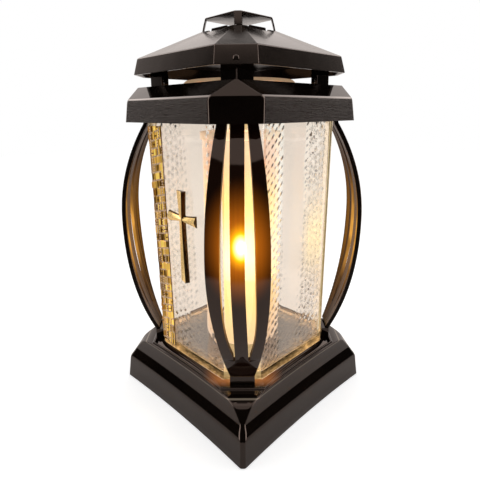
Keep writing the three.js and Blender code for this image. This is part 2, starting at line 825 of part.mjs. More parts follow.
function ventCollar() {
  const outer = ventHalfWidth - sideGap;
  const outerReach = ventReach - sideGap;
  const flangeTop = crownDipHeight - collarFlangeDrop;
  const flangeFoot = flangeTop - collarFlangeThickness;
  const ringTopHeight = crownDipHeight - collarWall / 2;
  const inner = (height) => cutSquare(outer - collarWall, outerReach - collarWall, height);
  const flangeHalfWidth = outer + collarFlangeOffset;
  const ring = loft([
    cutSquareByCut(flangeHalfWidth, collarFlangeCut, flangeFoot),
    cutSquareByCut(flangeHalfWidth, collarFlangeCut, flangeTop),
    cutSquare(outer, outerReach, flangeTop),
    cutSquare(outer, outerReach, ringTopHeight),
    inner(ringTopHeight),
    inner(flangeFoot),
  ], true);
  const foot = ringTopHeight - collarWall;
  const outline = [
    new THREE.Vector2(-collarTongueFootWidth / 2, foot),
    new THREE.Vector2(collarTongueFootWidth / 2, foot),
    new THREE.Vector2(collarTongueHeadWidth / 2, crownDipHeight + collarTongueRise),
    new THREE.Vector2(-collarTongueHeadWidth / 2, crownDipHeight + collarTongueRise),
  ];
  const tongue = plateAlongX(outline, outer - collarWall, outer);
  const tongues = [0, 1, 2, 3].map((quarter) => tongue.clone().rotateZ((quarter * Math.PI) / 2));
  return joined(ring, ...tongues);
}

// Chimney cap: a low pyramid on four flat legs that stand on the crown's corners

function ventCap() {
  const top = capHeight + capThickness;
  const tipShare = 0.04;
  const plate = loft([
    cutSquare(capHalfWidth, capReach, capHeight),
    cutSquare(capHalfWidth, capReach, top),
    cutSquare(capHalfWidth * tipShare, capReach * tipShare, top + capPeak),
  ]);
  const legRow = (reach, height) => [
    new THREE.Vector3(reach, -legWidth / 2, height),
    new THREE.Vector3(reach, legWidth / 2, height),
    new THREE.Vector3(reach - legThickness, legWidth / 2, height),
    new THREE.Vector3(reach - legThickness, -legWidth / 2, height),
  ];
  const legFoot = crownHeight + seatGap;
  const leg = loft([legRow(legFootReach, legFoot), legRow(capReach, capHeight + capThickness / 2)]);
  return joined(plate, ...atCorners(leg));
}

// Heat shield: an upturned tin dish on four bent legs over the smoke hole

function heatShield() {
  const dish = turned([
    [0, shieldTop - shieldSheet],
    [shieldTopRadius - shieldSheet, shieldTop - shieldSheet],
    [shieldRimRadius - shieldSheet, shieldTop - shieldRimDrop],
    [shieldRimRadius, shieldTop - shieldRimDrop],
    [shieldTopRadius, shieldTop],
    [0, shieldTop],
  ], shieldSides);
  const legReach = shieldTopRadius - shieldSheet;
  const leg = block(
    [legReach - shieldSheet, -shieldLegWidth / 2, lidDeckTop + seatGap],
    [legReach, shieldLegWidth / 2, shieldTop - shieldSheet / 2],
  );
  const legs = [];
  for (let index = 0; index < shieldLegs; index += 1) {
    legs.push(leg.clone().rotateZ((index * 2 * Math.PI) / shieldLegs));
  }
  return joined(dish, ...legs);
}

// Refill candle

function candleCup() {
  return turned([
    [0, cupFoot],
    [cupRadius - cupBlend, cupFoot],
    [cupRadius, cupFoot + cupBlend],
    [cupRadius, cupRim],
    [cupRadius - cupWall, cupRim],
    [cupRadius - cupWall, cupFoot + cupBlend],
    [cupRadius - cupWall - cupBlend + cupFloor, cupFoot + cupFloor],
    [0, cupFoot + cupFloor],
  ], candleSides);
}

function candleWax() {
  const radius = cupRadius - cupWall - waxGap;
  const low = cupFoot + cupFloor + seatGap + sustainerThickness + seatGap;
  return turned([
    [wickBoreRadius, low],
    [radius - cupBlend, low],
    [radius, low + cupBlend],
    [radius, waxTop],
    [radius - waxDish, waxTop - waxDish / 2],
    [radius / 2, waxTop - waxDish],
    [wickBoreRadius, waxTop - waxDish],
    [wickBoreRadius, low],
  ], candleSides);
}

function candleWick() {
  const low = cupFoot + cupFloor + seatGap + sustainerThickness + seatGap;
  const top = waxTop + wickStickOut;
  return turned([[0, low], [wickRadius, low], [wickRadius, top], [0, top]], pinSides);
}

function wickSustainer() {
  const low = cupFoot + cupFloor + seatGap;
  const top = low + sustainerThickness;
  return turned([[0, low], [sustainerRadius, low], [sustainerRadius, top], [0, top]], candleSides);
}

function candleTin() {
  const inner = cupRadius + sideGap;
  const plate = cupRim + seatGap;
  return turned([
    [tinOpeningRadius, plate],
    [inner, plate],
    [inner, cupRim - tinSkirtDepth],
    [inner + tinSheet, cupRim - tinSkirtDepth],
    [inner + tinSheet, plate + tinSheet],
    [tinOpeningRadius, plate + tinSheet],
    [tinOpeningRadius, plate],
  ], candleSides);
}

// The whole lantern

addPiece('base_shell', baseShell(), darkPlastic);
addPiece('glass_seal', glassSeal(), sealRubber);
addPiece('glass_body', glassBody(), clearGlass());
addPiece('gold_strip', goldStrip(), goldMetal);
addPiece('gold_cross', goldCross(), goldMetal);
addAtCorners('rib', rib(), ribPlastic);
addPiece('top_ring', topRing(), darkPlastic);
addPiece('lid_lower', lidLower(), darkPlastic);
addAtCorners('post', anglePost(), darkPlastic);
addPiece('roof_upper', roofUpper(), darkPlastic);
addAtCorners('pin', cornerPin(), darkPlastic);
addPiece('vent_collar', ventCollar(), darkPlastic);
addPiece('vent_cap', ventCap(), darkPlastic);
addPiece('heat_shield', heatShield(), goldTin);
addPiece('candle_cup', candleCup(), cupPlastic);
addPiece('candle_wax', candleWax(), waxBody);
addPiece('candle_wick', candleWick(), wickThread);
addPiece('wick_sustainer', wickSustainer(), plainTin);
addPiece('candle_tin', candleTin(), goldTin);

export default lantern;
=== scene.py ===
# Grave lantern: materials, visual pieces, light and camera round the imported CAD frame.
# Meshes are worked out in millimetres and stored in metres. Shader lengths are in metres.

import math
import bpy
import numpy as np
from mathutils import Matrix, Vector


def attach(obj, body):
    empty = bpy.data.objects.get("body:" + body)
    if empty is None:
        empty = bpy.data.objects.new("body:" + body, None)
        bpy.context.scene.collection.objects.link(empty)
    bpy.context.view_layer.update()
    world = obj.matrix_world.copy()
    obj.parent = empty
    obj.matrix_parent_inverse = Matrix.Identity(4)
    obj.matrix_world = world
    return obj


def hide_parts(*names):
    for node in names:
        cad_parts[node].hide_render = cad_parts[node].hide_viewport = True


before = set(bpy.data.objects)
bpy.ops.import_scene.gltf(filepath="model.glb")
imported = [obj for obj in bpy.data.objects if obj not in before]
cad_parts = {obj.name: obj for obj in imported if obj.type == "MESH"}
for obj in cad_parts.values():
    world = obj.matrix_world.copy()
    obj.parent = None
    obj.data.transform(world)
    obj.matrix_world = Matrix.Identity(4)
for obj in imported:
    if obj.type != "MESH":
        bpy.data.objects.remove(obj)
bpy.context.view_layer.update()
mm = 0.001
rootTwo = math.sqrt(2)
placeNames = ["right_back", "left_back", "left_front", "right_front"]


# Curves and turns

# 0 below the first edge, 1 above the second, and 3 t squared less 2 t cubed between them.
def smoothStep(low, high, value):
    share = np.clip((np.asarray(value, dtype=float) - low) / (high - low), 0, 1)
    return share * share * (3 - 2 * share)


# The part of a number after its point, used as a repeatable chance from a large sine.
def chanceOf(phase, size):
    mixed = np.sin(phase) * size
    return mixed - np.floor(mixed)


# Points turned about the Z axis: x cos - y sin, x sin + y cos.
def turned(points, degrees):
    angle = np.radians(degrees)
    cosine, sine = np.cos(angle), np.sin(angle)
    x, y = points[..., 0], points[..., 1]
    return np.stack([x * cosine - y * sine, x * sine + y * cosine, points[..., 2]], -1)


# A cubic through given values. Each slope is the harmonic mean of the two rises beside
# it, or level where they differ in sign, so the curve never overshoots.
def softCurve(knots, values, at):
    knots = np.asarray(knots, dtype=float)
    values = np.asarray(values, dtype=float)
    steps = np.diff(knots)
    rises = np.diff(values) / steps
    before, after = rises[:-1], rises[1:]
    same = before * after > 0
    inner = np.where(same, 2 * before * after / np.where(same, before + after, 1), 0)
    slopes = np.concatenate([rises[:1], inner, rises[-1:]])
    at = np.clip(np.asarray(at, dtype=float), knots[0], knots[-1])
    i = np.clip(np.searchsorted(knots, at, side="right") - 1, 0, len(steps) - 1)
    t = (at - knots[i]) / steps[i]
    lowPart = (2 * t**3 - 3 * t**2 + 1) * values[i] + (t**3 - 2 * t**2 + t) * steps[i] * slopes[i]
    highPart = (3 * t**2 - 2 * t**3) * values[i + 1] + (t**3 - t**2) * steps[i] * slopes[i + 1]
    return lowPart + highPart


# A quadratic curve: each point is (1-t)^2 start + 2t(1-t) corner + t^2 end.
def cornerCurve(start, corner, end, shares):
    return (1 - shares) ** 2 * start + 2 * shares * (1 - shares) * corner + shares**2 * end


# Meshes: a part is a pair of points and blocks of faces with equal corner counts

# A mesh object from points in millimetres and lists of corner numbers.
def makePiece(name, points, faces):
    mesh = bpy.data.meshes.new(name)
    mesh.from_pydata((np.asarray(points, dtype=float).reshape(-1, 3) * mm).tolist(), [], faces)
    mesh.validate()
    mesh.update()
    piece = bpy.data.objects.new(name, mesh)
    bpy.context.scene.collection.objects.link(piece)
    mesh.shade_smooth()
    return piece


# Quads between grid neighbours. Columns always close, rows close if asked, and the caps
# are the first and last row, each as one face.
def gridPart(grid, closeRows=False, caps=False):
    rows, columns = grid.shape[:2]
    rowSteps = np.arange(rows if closeRows else rows - 1)
    row, column = np.meshgrid(rowSteps, np.arange(columns), indexing="ij")
    nextRow, nextColumn = (row + 1) % rows, (column + 1) % columns
    corners = [(row, column), (row, nextColumn), (nextRow, nextColumn), (nextRow, column)]
    blocks = [np.stack([r * columns + c for r, c in corners], -1).reshape(-1, 4)]
    if caps:
        first = np.arange(columns)[None]
        blocks += [first[:, ::-1], first + (rows - 1) * columns]
    return grid, blocks


# The same part at all four quarters, from an angle on.
def fourTimes(points, blocks, start=0):
    return [(turned(points, start + 90 * quarter), blocks) for quarter in range(4)]


# A prism over an anticlockwise outline, between two heights or lists of heights.
def prismPart(outline, low, high):
    outline = np.asarray(outline, dtype=float)
    count = len(outline)
    lower = np.column_stack([outline, np.broadcast_to(low, count)])
    upper = np.column_stack([outline, np.broadcast_to(high, count)])
    i = np.arange(count)
    after = (i + 1) % count
    sides = np.stack([i, after, count + after, count + i], -1)
    return np.concatenate([lower, upper]), [sides, i[None, ::-1], count + i[None]]


# Several parts as one piece, each part's corner numbers moved past the points before it.
def joinParts(name, parts):
    points, faces, first = [], [], 0
    for grid, blocks in parts:
        points.append(np.asarray(grid, dtype=float).reshape(-1, 3))
        for block in blocks:
            faces.extend((block + first).tolist())
        first += len(points[-1])
    return makePiece(name, np.concatenate(points), faces)


# A level ring round the axis: a square with cut corners, whose eight corners are short
# quadratic curves. The bow draws a side in by one minus the square of the way along it.
def cutSquareRing(half, cut, height, bow=0.0, fillet=0.4, perSide=1, perCorner=1, arc=3):
    side = half - rootTwo * cut
    reachIn = min(fillet * math.tan(math.pi / 8), 0.9 * side, 0.9 * cut)
    shares = np.linspace(0, 1, arc + 1)[:, None]
    start, end = np.array([half, side]), np.array([side, half])
    along, inwards = np.array([0.0, 1.0]), np.array([-1.0, 0.0])
    across = (end - start) / max(np.linalg.norm(end - start), 1e-9)
    cutStart, cutEnd = start + across * reachIn, end - across * reachIn
    straight = np.linspace(-(side - reachIn), side - reachIn, perSide + 1)[1:-1]
    quarter = np.concatenate([
        np.stack([np.full(len(straight), half), straight], -1),
        cornerCurve(start - along * reachIn, start, cutStart, shares),
        np.linspace(cutStart, cutEnd, perCorner + 1)[1:-1],
        cornerCurve(cutEnd, end, end + inwards * reachIn, shares),
    ])
    other = quarter[:, ::-1]
    onSide = (quarter > other) & (np.abs(other) <= side + 1e-6)
    quarter = quarter - np.where(onSide, bow * (1 - (other / side) ** 2), 0)
    level = np.column_stack([quarter, np.full(len(quarter), height)])
    return np.concatenate([turned(level, 90 * q) for q in range(4)])


# Rows of numbers with each inner corner swapped for a short quadratic curve. The last
# column is the length taken from each neighbouring stretch, measured in the first and
# third columns.
def softRows(rows, closed=False, steps=4):
    rows = np.asarray(rows, dtype=float)
    count = len(rows)
    shares = np.linspace(0, 1, steps + 1)[:, None]
    result = []
    for i, row in enumerate(rows):
        if row[-1] <= 0 or (not closed and i in (0, count - 1)):
            result.append(row[None, :])
            continue
        ends = []
        for other in (rows[i - 1], rows[(i + 1) % count]):
            size = max(np.hypot(other[0] - row[0], other[2] - row[2]), 1e-9)
            ends.append(row + (other - row) * min(row[-1] / size, 0.45))
        result.append(cornerCurve(ends[0], row, ends[1], shares))
    return np.concatenate(result)


# A skin over rows of half width, cut, height, bow, fillet and rounding.
def cutSquareSkin(rows, closed=False, steps=4, **ringOptions):
    return np.stack([cutSquareRing(*row[:5], **ringOptions) for row in softRows(rows, closed, steps)])


# Circles at given angles, with a radius and a height for each.
def circles(radius, height, angle):
    return np.stack([radius * np.cos(angle), radius * np.sin(angle), height + 0 * angle], -1)


# A skin turned about the axis over rows of radius, height and rounding.
def turnedSkin(rows, sides=96, closed=False, steps=3):
    soft = softRows(np.insert(np.array(rows, dtype=float), 1, 0, axis=1), closed, steps)
    return circles(soft[:, :1], soft[:, 2:3], np.linspace(0, 2 * math.pi, sides, endpoint=False))


def addBevel(piece, width, segments=3, angle=30):
    bevel = piece.modifiers.new("bevel", "BEVEL")
    bevel.width = width * mm
    bevel.segments = segments
    bevel.limit_method = "ANGLE"
    bevel.angle_limit = math.radians(angle)
    bevel.harden_normals = True
    return piece


# Shading normals that follow the largest faces round a corner.
def addWeights(piece):
    weights = piece.modifiers.new("weights", "WEIGHTED_NORMAL")
    weights.mode = "FACE_AREA"
    weights.weight = 80
    weights.keep_sharp = True
    return piece


# Gives a piece its material and body, and lets it stand for its CAD nodes. The slot is not used.
def settle(piece, material, slot, body, *nodes):
    if material:
        piece.data.materials.clear()
        piece.data.materials.append(material)
    if nodes:
        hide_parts(*nodes)
    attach(piece, body)
    return piece


# The photograph's lid sits turned a little on its ring, in degrees, and shifted.
lidSeat = dict(turn=-0.93, shift=(-0.541, -0.548, 0.0))


# Each part turned and shifted with the lid.
def lidParts(parts):
    shift = np.array(lidSeat["shift"])
    return [(turned(np.reshape(points, (-1, 3)), lidSeat["turn"]) + shift, blocks)
            for points, blocks in parts]


# Shader nodes

# A value that varies over a surface. Each plus, minus, times and so on is one Math node.
class Field:
    def __init__(self, tree, socket):
        self.tree = tree
        self.socket = socket

    def maths(self, operation, first, second=0.0):
        made = node(self.tree, "ShaderNodeMath", {0: first, 1: second}, operation=operation)
        return Field(self.tree, made.outputs[0])

    def __rsub__(self, other):
        return self.maths("SUBTRACT", other, self)

    def __abs__(self):
        return self.maths("ABSOLUTE", self)

    # from one number to another while the value goes from low to high, held outside
    def ramp(self, low, high, toLow=0.0, toHigh=1.0, smooth=True):
        ends = {"From Min": low, "From Max": high, "To Min": toLow, "To Max": toHigh}
        kind = "SMOOTHSTEP" if smooth else "LINEAR"
        made = node(self.tree, "ShaderNodeMapRange", {"Value": self, **ends}, clamp=True,
                    interpolation_type=kind)
        return Field(self.tree, made.outputs["Result"])


# One function for each of Python's operators. Plus and times take a number before them too.
for label, operation in dict(add="ADD", radd="ADD", sub="SUBTRACT", mul="MULTIPLY", rmul="MULTIPLY",
                             truediv="DIVIDE", pow="POWER", gt="GREATER_THAN", lt="LESS_THAN").items():
    setattr(Field, f"__{label}__", lambda self, other, kind=operation: self.maths(kind, self, other))


def higher(first, second):
    return first.maths("MAXIMUM", first, second)


def lower(first, second):
    return first.maths("MINIMUM", first, second)


# A node with its settings, and its inputs as numbers, colours, sockets or fields.
def node(tree, kind, inputs=None, **settings):
    made = tree.nodes.new(kind)
    for key, value in settings.items():
        setattr(made, key, value)
    for key, value in (inputs or {}).items():
        value = value.socket if isinstance(value, Field) else value
        if isinstance(value, bpy.types.NodeSocket):
            tree.links.new(value, made.inputs[key])
        else:
            made.inputs[key].default_value = value
    return made


def vectorMaths(tree, operation, first, second=None):
    inputs = {0: first} if second is None else {0: first, 1: second}
    return node(tree, "ShaderNodeVectorMath", inputs, operation=operation)


def combine(tree, x=0.0, y=0.0, z=0.0):
    return node(tree, "ShaderNodeCombineXYZ", {"X": x, "Y": y, "Z": z}).outputs[0]


def noise(tree, vector, scale, detail=2.0, **more):
    made = node(tree, "ShaderNodeTexNoise", {"Vector": vector, "Scale": scale, "Detail": detail, **more})
    return Field(tree, made.outputs["Fac"])


# A colour between two others, and a colour times a number.
def mixColour(tree, share, first, second):
    return node(tree, "ShaderNodeMix", {0: share, 6: first, 7: second}, data_type="RGBA").outputs[2]


def scaledColour(tree, colour, amount):
    return node(tree, "ShaderNodeVectorMath", {0: colour, "Scale": amount}, operation="SCALE").outputs[0]


# Two colours mixed by a share, times an amount: light that varies in tone and strength.
def lightOf(tree, share, first, second, amount):
    return scaledColour(tree, mixColour(tree, share, first, second), amount)


def bumpOf(tree, height, strength=1.0, distance=0.0005):
    inputs = {"Height": height, "Strength": strength, "Distance": distance}
    return node(tree, "ShaderNodeBump", inputs).outputs[0]


# The place on the piece as a vector and as its three distances in metres.
def objectPoint(tree):
    vector = node(tree, "ShaderNodeTexCoord").outputs["Object"]
    parts = node(tree, "ShaderNodeSeparateXYZ", {0: vector}).outputs
    return [vector] + [Field(tree, part) for part in parts]


def newMaterial(name):
    material = bpy.data.materials.new(name)
    material.use_nodes = True
    material.node_tree.nodes.clear()
    return material, material.node_tree


# The material's shader goes to its output.
def finish(material, shader):
    output = node(material.node_tree, "ShaderNodeOutputMaterial")
    material.node_tree.links.new(shader.outputs[0], output.inputs[0])
    return material


# A material of one Principled shader. If it gives off light, the strength is 1 unless given.
def surface(material, inputs):
    lit = {"Emission Strength": 1.0} if "Emission Color" in inputs else {}
    return finish(material, node(material.node_tree, "ShaderNodeBsdfPrincipled", {**lit, **inputs}))


def addShaders(material, first, second):
    both = {0: first.outputs[0], 1: second.outputs[0]}
    return finish(material, node(material.node_tree, "ShaderNodeAddShader", both))


# A group with named inputs and outputs. The build function turns the inputs, as fields,
# into the outputs by name. A four-number input and an output named Colour are colours.
def makeGroup(name, inputs, outputs, build):
    tree = bpy.data.node_groups.new(name, "ShaderNodeTree")
    for label, value in inputs.items():
        kind = "NodeSocketColor" if isinstance(value, tuple) else "NodeSocketFloat"
        socket = tree.interface.new_socket(name=label, in_out="INPUT", socket_type=kind)
        socket.default_value = value
    for label in outputs:
        kind = "NodeSocketColor" if label == "Colour" else "NodeSocketFloat"
        tree.interface.new_socket(name=label, in_out="OUTPUT", socket_type=kind)
    start = tree.nodes.new("NodeGroupInput")
    end = tree.nodes.new("NodeGroupOutput")
    given = {label: Field(tree, start.outputs[label]) for label in inputs}
    for label, value in build(tree, given).items():
        tree.links.new(value.socket if isinstance(value, Field) else value, end.inputs[label])
    return tree


# A group placed in a material with its own values. Gives its outputs by name.
def placed(tree, group, **values):
    inputs = {label.replace("_", " "): value for label, value in values.items()}
    made = node(tree, "ShaderNodeGroup", inputs, node_tree=group)
    return {socket.name: Field(tree, socket) for socket in made.outputs}


# Fine dust: a dense noise, and the roughness it gives where it lies thick.
def buildDust(tree, given):
    vector = objectPoint(tree)[0]
    dust = noise(tree, vector, given["Scale"], given["Detail"], Roughness=given["Grit"])
    dull = dust.ramp(given["Thin"], given["Thick"], given["Least"], given["Most"])
    return {"Dust": dust, "Roughness": dull}


# Mould waves: a slow waviness of the moulded skin, plus the height of the dust on it.
def buildWaves(tree, given):
    wave = noise(tree, objectPoint(tree)[0], given["Scale"])
    return {"Wave": wave, "Height": wave * given["Waviness"] + given["Dust"] * given["Dust height"]}


# Wear of the thick mouldings: cloudy colour, and a gloss that clouds and scratches dull.
def buildWear(tree, given):
    vector = objectPoint(tree)[0]
    cloud = noise(tree, vector, 22.0, 5.0)
    brushed = vectorMaths(tree, "MULTIPLY", vector, (2400.0, 2400.0, 130.0)).outputs[0]
    mark = noise(tree, brushed, 1.0, 3.0).ramp(0.62, 0.75)
    rough = given["Roughness"] + cloud * (given["Roughness"] * 0.5) + mark * 0.08
    colour = mixColour(tree, cloud.ramp(0.35, 0.75), given["Dark"], given["Light"])
    return {"Cloud": cloud, "Colour": colour, "Roughness": rough}


# Clouded colour: a noise, and a colour between two others by that noise.
def buildCloud(tree, given):
    cloud = noise(tree, objectPoint(tree)[0], given["Scale"], given["Detail"])
    return {"Cloud": cloud, "Colour": mixColour(tree, cloud, given["Dark"], given["Light"])}


# The distance from a rib's middle line: the smaller offset from the two diagonals.
def buildOffset(tree, given):
    vector, x, y, z = objectPoint(tree)
    return {"Offset": lower(abs(x + y), abs(x - y)) * 0.7071}


black = (0.0022, 0.0013, 0.0009, 1)
brown = (0.0045, 0.0026, 0.0017, 1)
fineDust = makeGroup("fine dust", {"Scale": 900.0, "Detail": 4.0, "Grit": 0.5, "Thin": 0.3, "Thick": 0.8,
                                   "Least": 0.3, "Most": 0.5}, ("Dust", "Roughness"), buildDust)
mouldWaves = makeGroup("mould waves", {"Scale": 38.0, "Waviness": 0.3, "Dust": 0.5, "Dust height": 0.012},
                       ("Wave", "Height"), buildWaves)
plasticWear = makeGroup("plastic wear", {"Dark": black, "Light": brown, "Roughness": 0.05},
                        ("Cloud", "Colour", "Roughness"), buildWear)
cloudedColour = makeGroup("clouded colour", {"Scale": 60.0, "Detail": 4.0, "Dark": black, "Light": brown},
                          ("Cloud", "Colour"), buildCloud)
ribOffset = makeGroup("rib offset", {}, ("Offset",), buildOffset)


# Plastics: colours from dark to light, gloss, waviness of the mould and depth of grain
warmTint = (1.0, 0.8, 0.71, 1)
plasticLooks = dict(
    base_plastic=dict(dark=black, light=brown, roughness=0.05, waviness=0.25, grain=0, specular=0.5),
    lid_plastic=dict(dark=black, light=brown, roughness=0.045, waviness=0.2, grain=0, specular=0.5),
    lid_grain_plastic=dict(dark=(0.008, 0.005, 0.004, 1), light=(0.012, 0.008, 0.0065, 1), roughness=0.3,
                           waviness=0.3, grain=4.5, specular=0.3),
    roof_plastic=dict(dark=(0.009, 0.0065, 0.005, 1), light=(0.014, 0.010, 0.008, 1), roughness=0.13,
                      waviness=0.25, grain=0, specular=0.5),
)
# Where candle light leaks on to the base: distances from the axis and heights in metres
leakLook = dict(
    outward=(0.0715, 0.082), aside=(0.0094, 0.0104), asideEnd=(0.013, 0.034), height=(0.0436, 0.0442),
    recess=(0.0418, 0.0424), recessReach=(0.04, 0.0615), recessLight=(0.06, 0.12),
)


# Moulded wood grain: a noise stretched along the side, cut to ridges.
def woodGrain(tree, x, y, z):
    line = combine(tree, (x + y) * 60.0, z * 620.0)
    return noise(tree, line, 1.0, 5.0, Roughness=0.62, Distortion=1.6).ramp(0.38, 0.66)


# Light on the base: a leak beside the front and back ribs that fades outwards, plus the
# lit floor of the recess under the glass.
def candleLeak(tree, x, y, z, cloud):
    aside = abs(x + y) * 0.7071
    leak = ((x - y) * 0.7071).ramp(*leakLook["outward"], 1.0, 0.0) * aside.ramp(*leakLook["aside"])
    leak = leak * aside.ramp(*leakLook["asideEnd"], 1.0, 0.0) * z.ramp(*leakLook["height"])
    level = (z < leakLook["recess"][1]) * (z > leakLook["recess"][0])
    recess = level * higher(abs(x), abs(y)).ramp(*leakLook["recessReach"], *leakLook["recessLight"])
    leaked = lightOf(tree, cloud, (0.32, 0.10, 0.025, 1), (0.4, 0.14, 0.035, 1), leak)
    under = lightOf(tree, cloud, (0.9, 0.72, 0.56, 1), (1.0, 0.82, 0.62, 1), recess)
    return vectorMaths(tree, "ADD", leaked, under).outputs[0]


# Glossy moulded plastic: roughness is wear plus dust, height is waves plus wood grain.
def mouldedPlastic(name):
    look = plasticLooks[name]
    material, tree = newMaterial(name)
    vector, x, y, z = objectPoint(tree)
    dust = placed(tree, fineDust, Grit=0.7, Thin=0.6, Thick=0.9, Least=0.0, Most=0.12)
    waves = placed(tree, mouldWaves, Waviness=look["waviness"], Dust=dust["Dust"])
    wear = placed(tree, plasticWear, Dark=look["dark"], Light=look["light"], Roughness=look["roughness"])
    height = waves["Height"]
    if look["grain"]:
        height = height + woodGrain(tree, x, y, z) * look["grain"]
    inputs = {
        "Base Color": wear["Colour"], "Roughness": wear["Roughness"] + dust["Roughness"],
        "Specular IOR Level": look["specular"], "Specular Tint": warmTint, "Normal": bumpOf(tree, height),
    }
    if name == "base_plastic":
        inputs["Emission Color"] = candleLeak(tree, x, y, z, wear["Cloud"])
    return surface(material, inputs)


basePlastic, lidPlastic, grainPlastic, roofPlastic = [mouldedPlastic(name) for name in plasticLooks]


# Rib plastic: the height and reach of the flame's halo in metres, its strength and warmth,
# the strength of the white core, the depth of the streaks, and the plastic's own gloss
ribLooks = dict(
    rib_plastic_front=dict(height=0.167, reach=0.030, halo=1.15, core=1.0, streaks=0.05, warmth=0.25,
                           sheen=0.5, dull=0.0),
    rib_plastic_side=dict(height=0.143, reach=0.105, halo=0.14, core=0.0, streaks=0.85, warmth=0.38,
                          sheen=0.07, dull=0.2),
)
# reach in metres, and strength as a share of the core's, of its three nested spots
coreSpots = dict(middle=(0.0025, 0.0115, 0.9), core=(0.0015, 0.0078, 1.4), pale=(0.001, 0.0062, 1.4))


# Thin smoky plastic with the flame behind it. The halo is the square of a straight fall
# with the distance from the flame's point on the rib, times the streaks. The core's spots
# add white, then yellow. Rises count less than offsets, so the glow is taller than wide.
def ribMaterial(name):
    look = ribLooks[name]
    material, tree = newMaterial(name)
    vector, x, y, z = objectPoint(tree)
    dust = placed(tree, fineDust, Scale=700.0, Thin=0.45, Thick=0.9, Least=0.04 + look["dull"],
                  Most=0.12 + look["dull"])
    waves = placed(tree, mouldWaves, Scale=30.0, Waviness=0.4, Dust=dust["Dust"], Dust_height=0.01)
    aside = placed(tree, ribOffset)["Offset"]
    flow = noise(tree, combine(tree, aside * 620.0, z * 9.0), 1.0)
    streak = flow.ramp(0.35, 0.65, 1.0 - look["streaks"], 1.0 + look["streaks"])
    rise = (z - look["height"]) * 0.63
    away = aside**2.0 + rise**2.0
    away = away.maths("SQRT", away)
    halo = away.ramp(0.0, look["reach"], 1.0, 0.0, smooth=False) ** 2.0 * look["halo"] * streak
    middle, core, pale = [away.ramp(near, far, look["core"] * share, 0.0)
                          for near, far, share in coreSpots.values()]
    red = halo + (middle + core)
    green = halo * look["warmth"] + (middle * 0.55 + core * 0.8)
    blue = halo * (look["warmth"] * 0.04) + pale
    return surface(material, {
        "Base Color": mixColour(tree, waves["Wave"], (0.006, 0.002, 0.001, 1), (0.012, 0.005, 0.003, 1)),
        "Roughness": dust["Roughness"], "Specular IOR Level": look["sheen"], "Specular Tint": warmTint,
        "Normal": bumpOf(tree, waves["Height"] + flow * (look["streaks"] * 0.5)),
        "Emission Color": node(tree, "ShaderNodeCombineColor", {0: red, 1: green, 2: blue}).outputs[0],
    })


frontRibPlastic, sideRibPlastic = [ribMaterial(name) for name in ribLooks]
# Rib edges: the widest height, the fall to the ends, half width, what it narrows by, and
# the height and reach of the light, all in metres
edgeLook = dict(widest=0.15, fall=0.0953, half=0.0224, narrowing=0.0129, lightHeight=0.147, lightReach=0.078)


# The cut edges of a rib: the slit walls inside three quarters of its half width carry
# painted candle light in golden streaks, strongest at the flame's height. The half width
# falls with the square of the way from the widest height.
def ribEdgeMaterial():
    material, tree = newMaterial("rib_edge_plastic")
    vector, x, y, z = objectPoint(tree)
    half = edgeLook["half"] - ((z - edgeLook["widest"]) / edgeLook["fall"]) ** 2.0 * edgeLook["narrowing"]
    inside = placed(tree, ribOffset)["Offset"] < half * 0.76
    flow = noise(tree, vectorMaths(tree, "MULTIPLY", vector, (60.0, 60.0, 12.0)).outputs[0], 4.0)
    # the painted candle light, strongest level with the flame and streaked by the noise
    high = abs(z - edgeLook["lightHeight"]).ramp(0.0, edgeLook["lightReach"], 1.0, 0.05)
    amount = inside * high * flow.ramp(0.3, 0.7, 0.5, 1.1)
    return surface(material, {
        "Base Color": mixColour(tree, flow, (0.004, 0.002, 0.001, 1), (0.01, 0.005, 0.003, 1)),
        "Emission Color": lightOf(tree, high, (0.28, 0.11, 0.04, 1), (0.78, 0.36, 0.06, 1), amount),
        "Specular IOR Level": 0.1, "Roughness": 0.45,
    })


ribEdge = ribEdgeMaterial()

# Pressed glass: the outer faces' distance from the axis, the spacing, lean and half sizes
# of the dimples and how much less of each beside a rib, and where the bands lie, in metres
glassLook = dict(
    face=0.0616, tightFrom=0.010, column=0.0063, columnLess=0.00265, rowHeight=0.0068, slant=0.41,
    longAxis=(0.66, 0.75), longHalf=0.0019, longMore=0.0003, shortHalf=0.0015, shortLess=0.0006, slope=300.0,
    wander=0.006, flameHeight=0.150, warmRun=0.025, bandTop=(0.05, 0.058), bandEdge=(0.0385, 0.0405),
    foot=(0.0444, 0.0518), cornerReach=0.0988, taper=0.026, roughness=0.02, index=1.48,
)


# Dimples: cells of a slanted lattice. A dimple's strength is e to the minus square of the
# offset from its middle, counted in half lengths along it and half widths across it.
# Gives the strength and the two slopes of the wall.
def dimpleField(tree, run, z, tight):
    look = glassLook
    column = look["column"] - tight * look["columnLess"]
    across = run / column
    wall = combine(tree, across, z / look["rowHeight"] + across * look["slant"])
    cell = node(tree, "ShaderNodeTexVoronoi", {"Vector": wall, "Scale": 1.0, "Randomness": 0.22},
                feature="F1", voronoi_dimensions="2D").outputs
    offset = vectorMaths(tree, "SUBTRACT", wall, cell["Position"]).outputs[0]
    parts = node(tree, "ShaderNodeSeparateXYZ", {0: offset}).outputs
    du, dv = Field(tree, parts[0]), Field(tree, parts[1])
    sideways = du * column
    upwards = (dv - du * look["slant"]) * look["rowHeight"]
    near, far = look["longAxis"]
    long = (sideways * near + upwards * far) / (look["longHalf"] + tight * look["longMore"])
    short = (upwards * near - sideways * far) / (look["shortHalf"] - tight * look["shortLess"])
    spread = (long**2.0 + short**2.0) * -1.0
    chance = Field(tree, node(tree, "ShaderNodeSeparateColor", {0: cell["Color"]}).outputs[0])
    dimple = spread.maths("EXPONENT", spread) * chance.ramp(0.0, 1.0, 0.35, 1.0, smooth=False)
    return dimple, sideways * look["slope"], upwards * look["slope"]


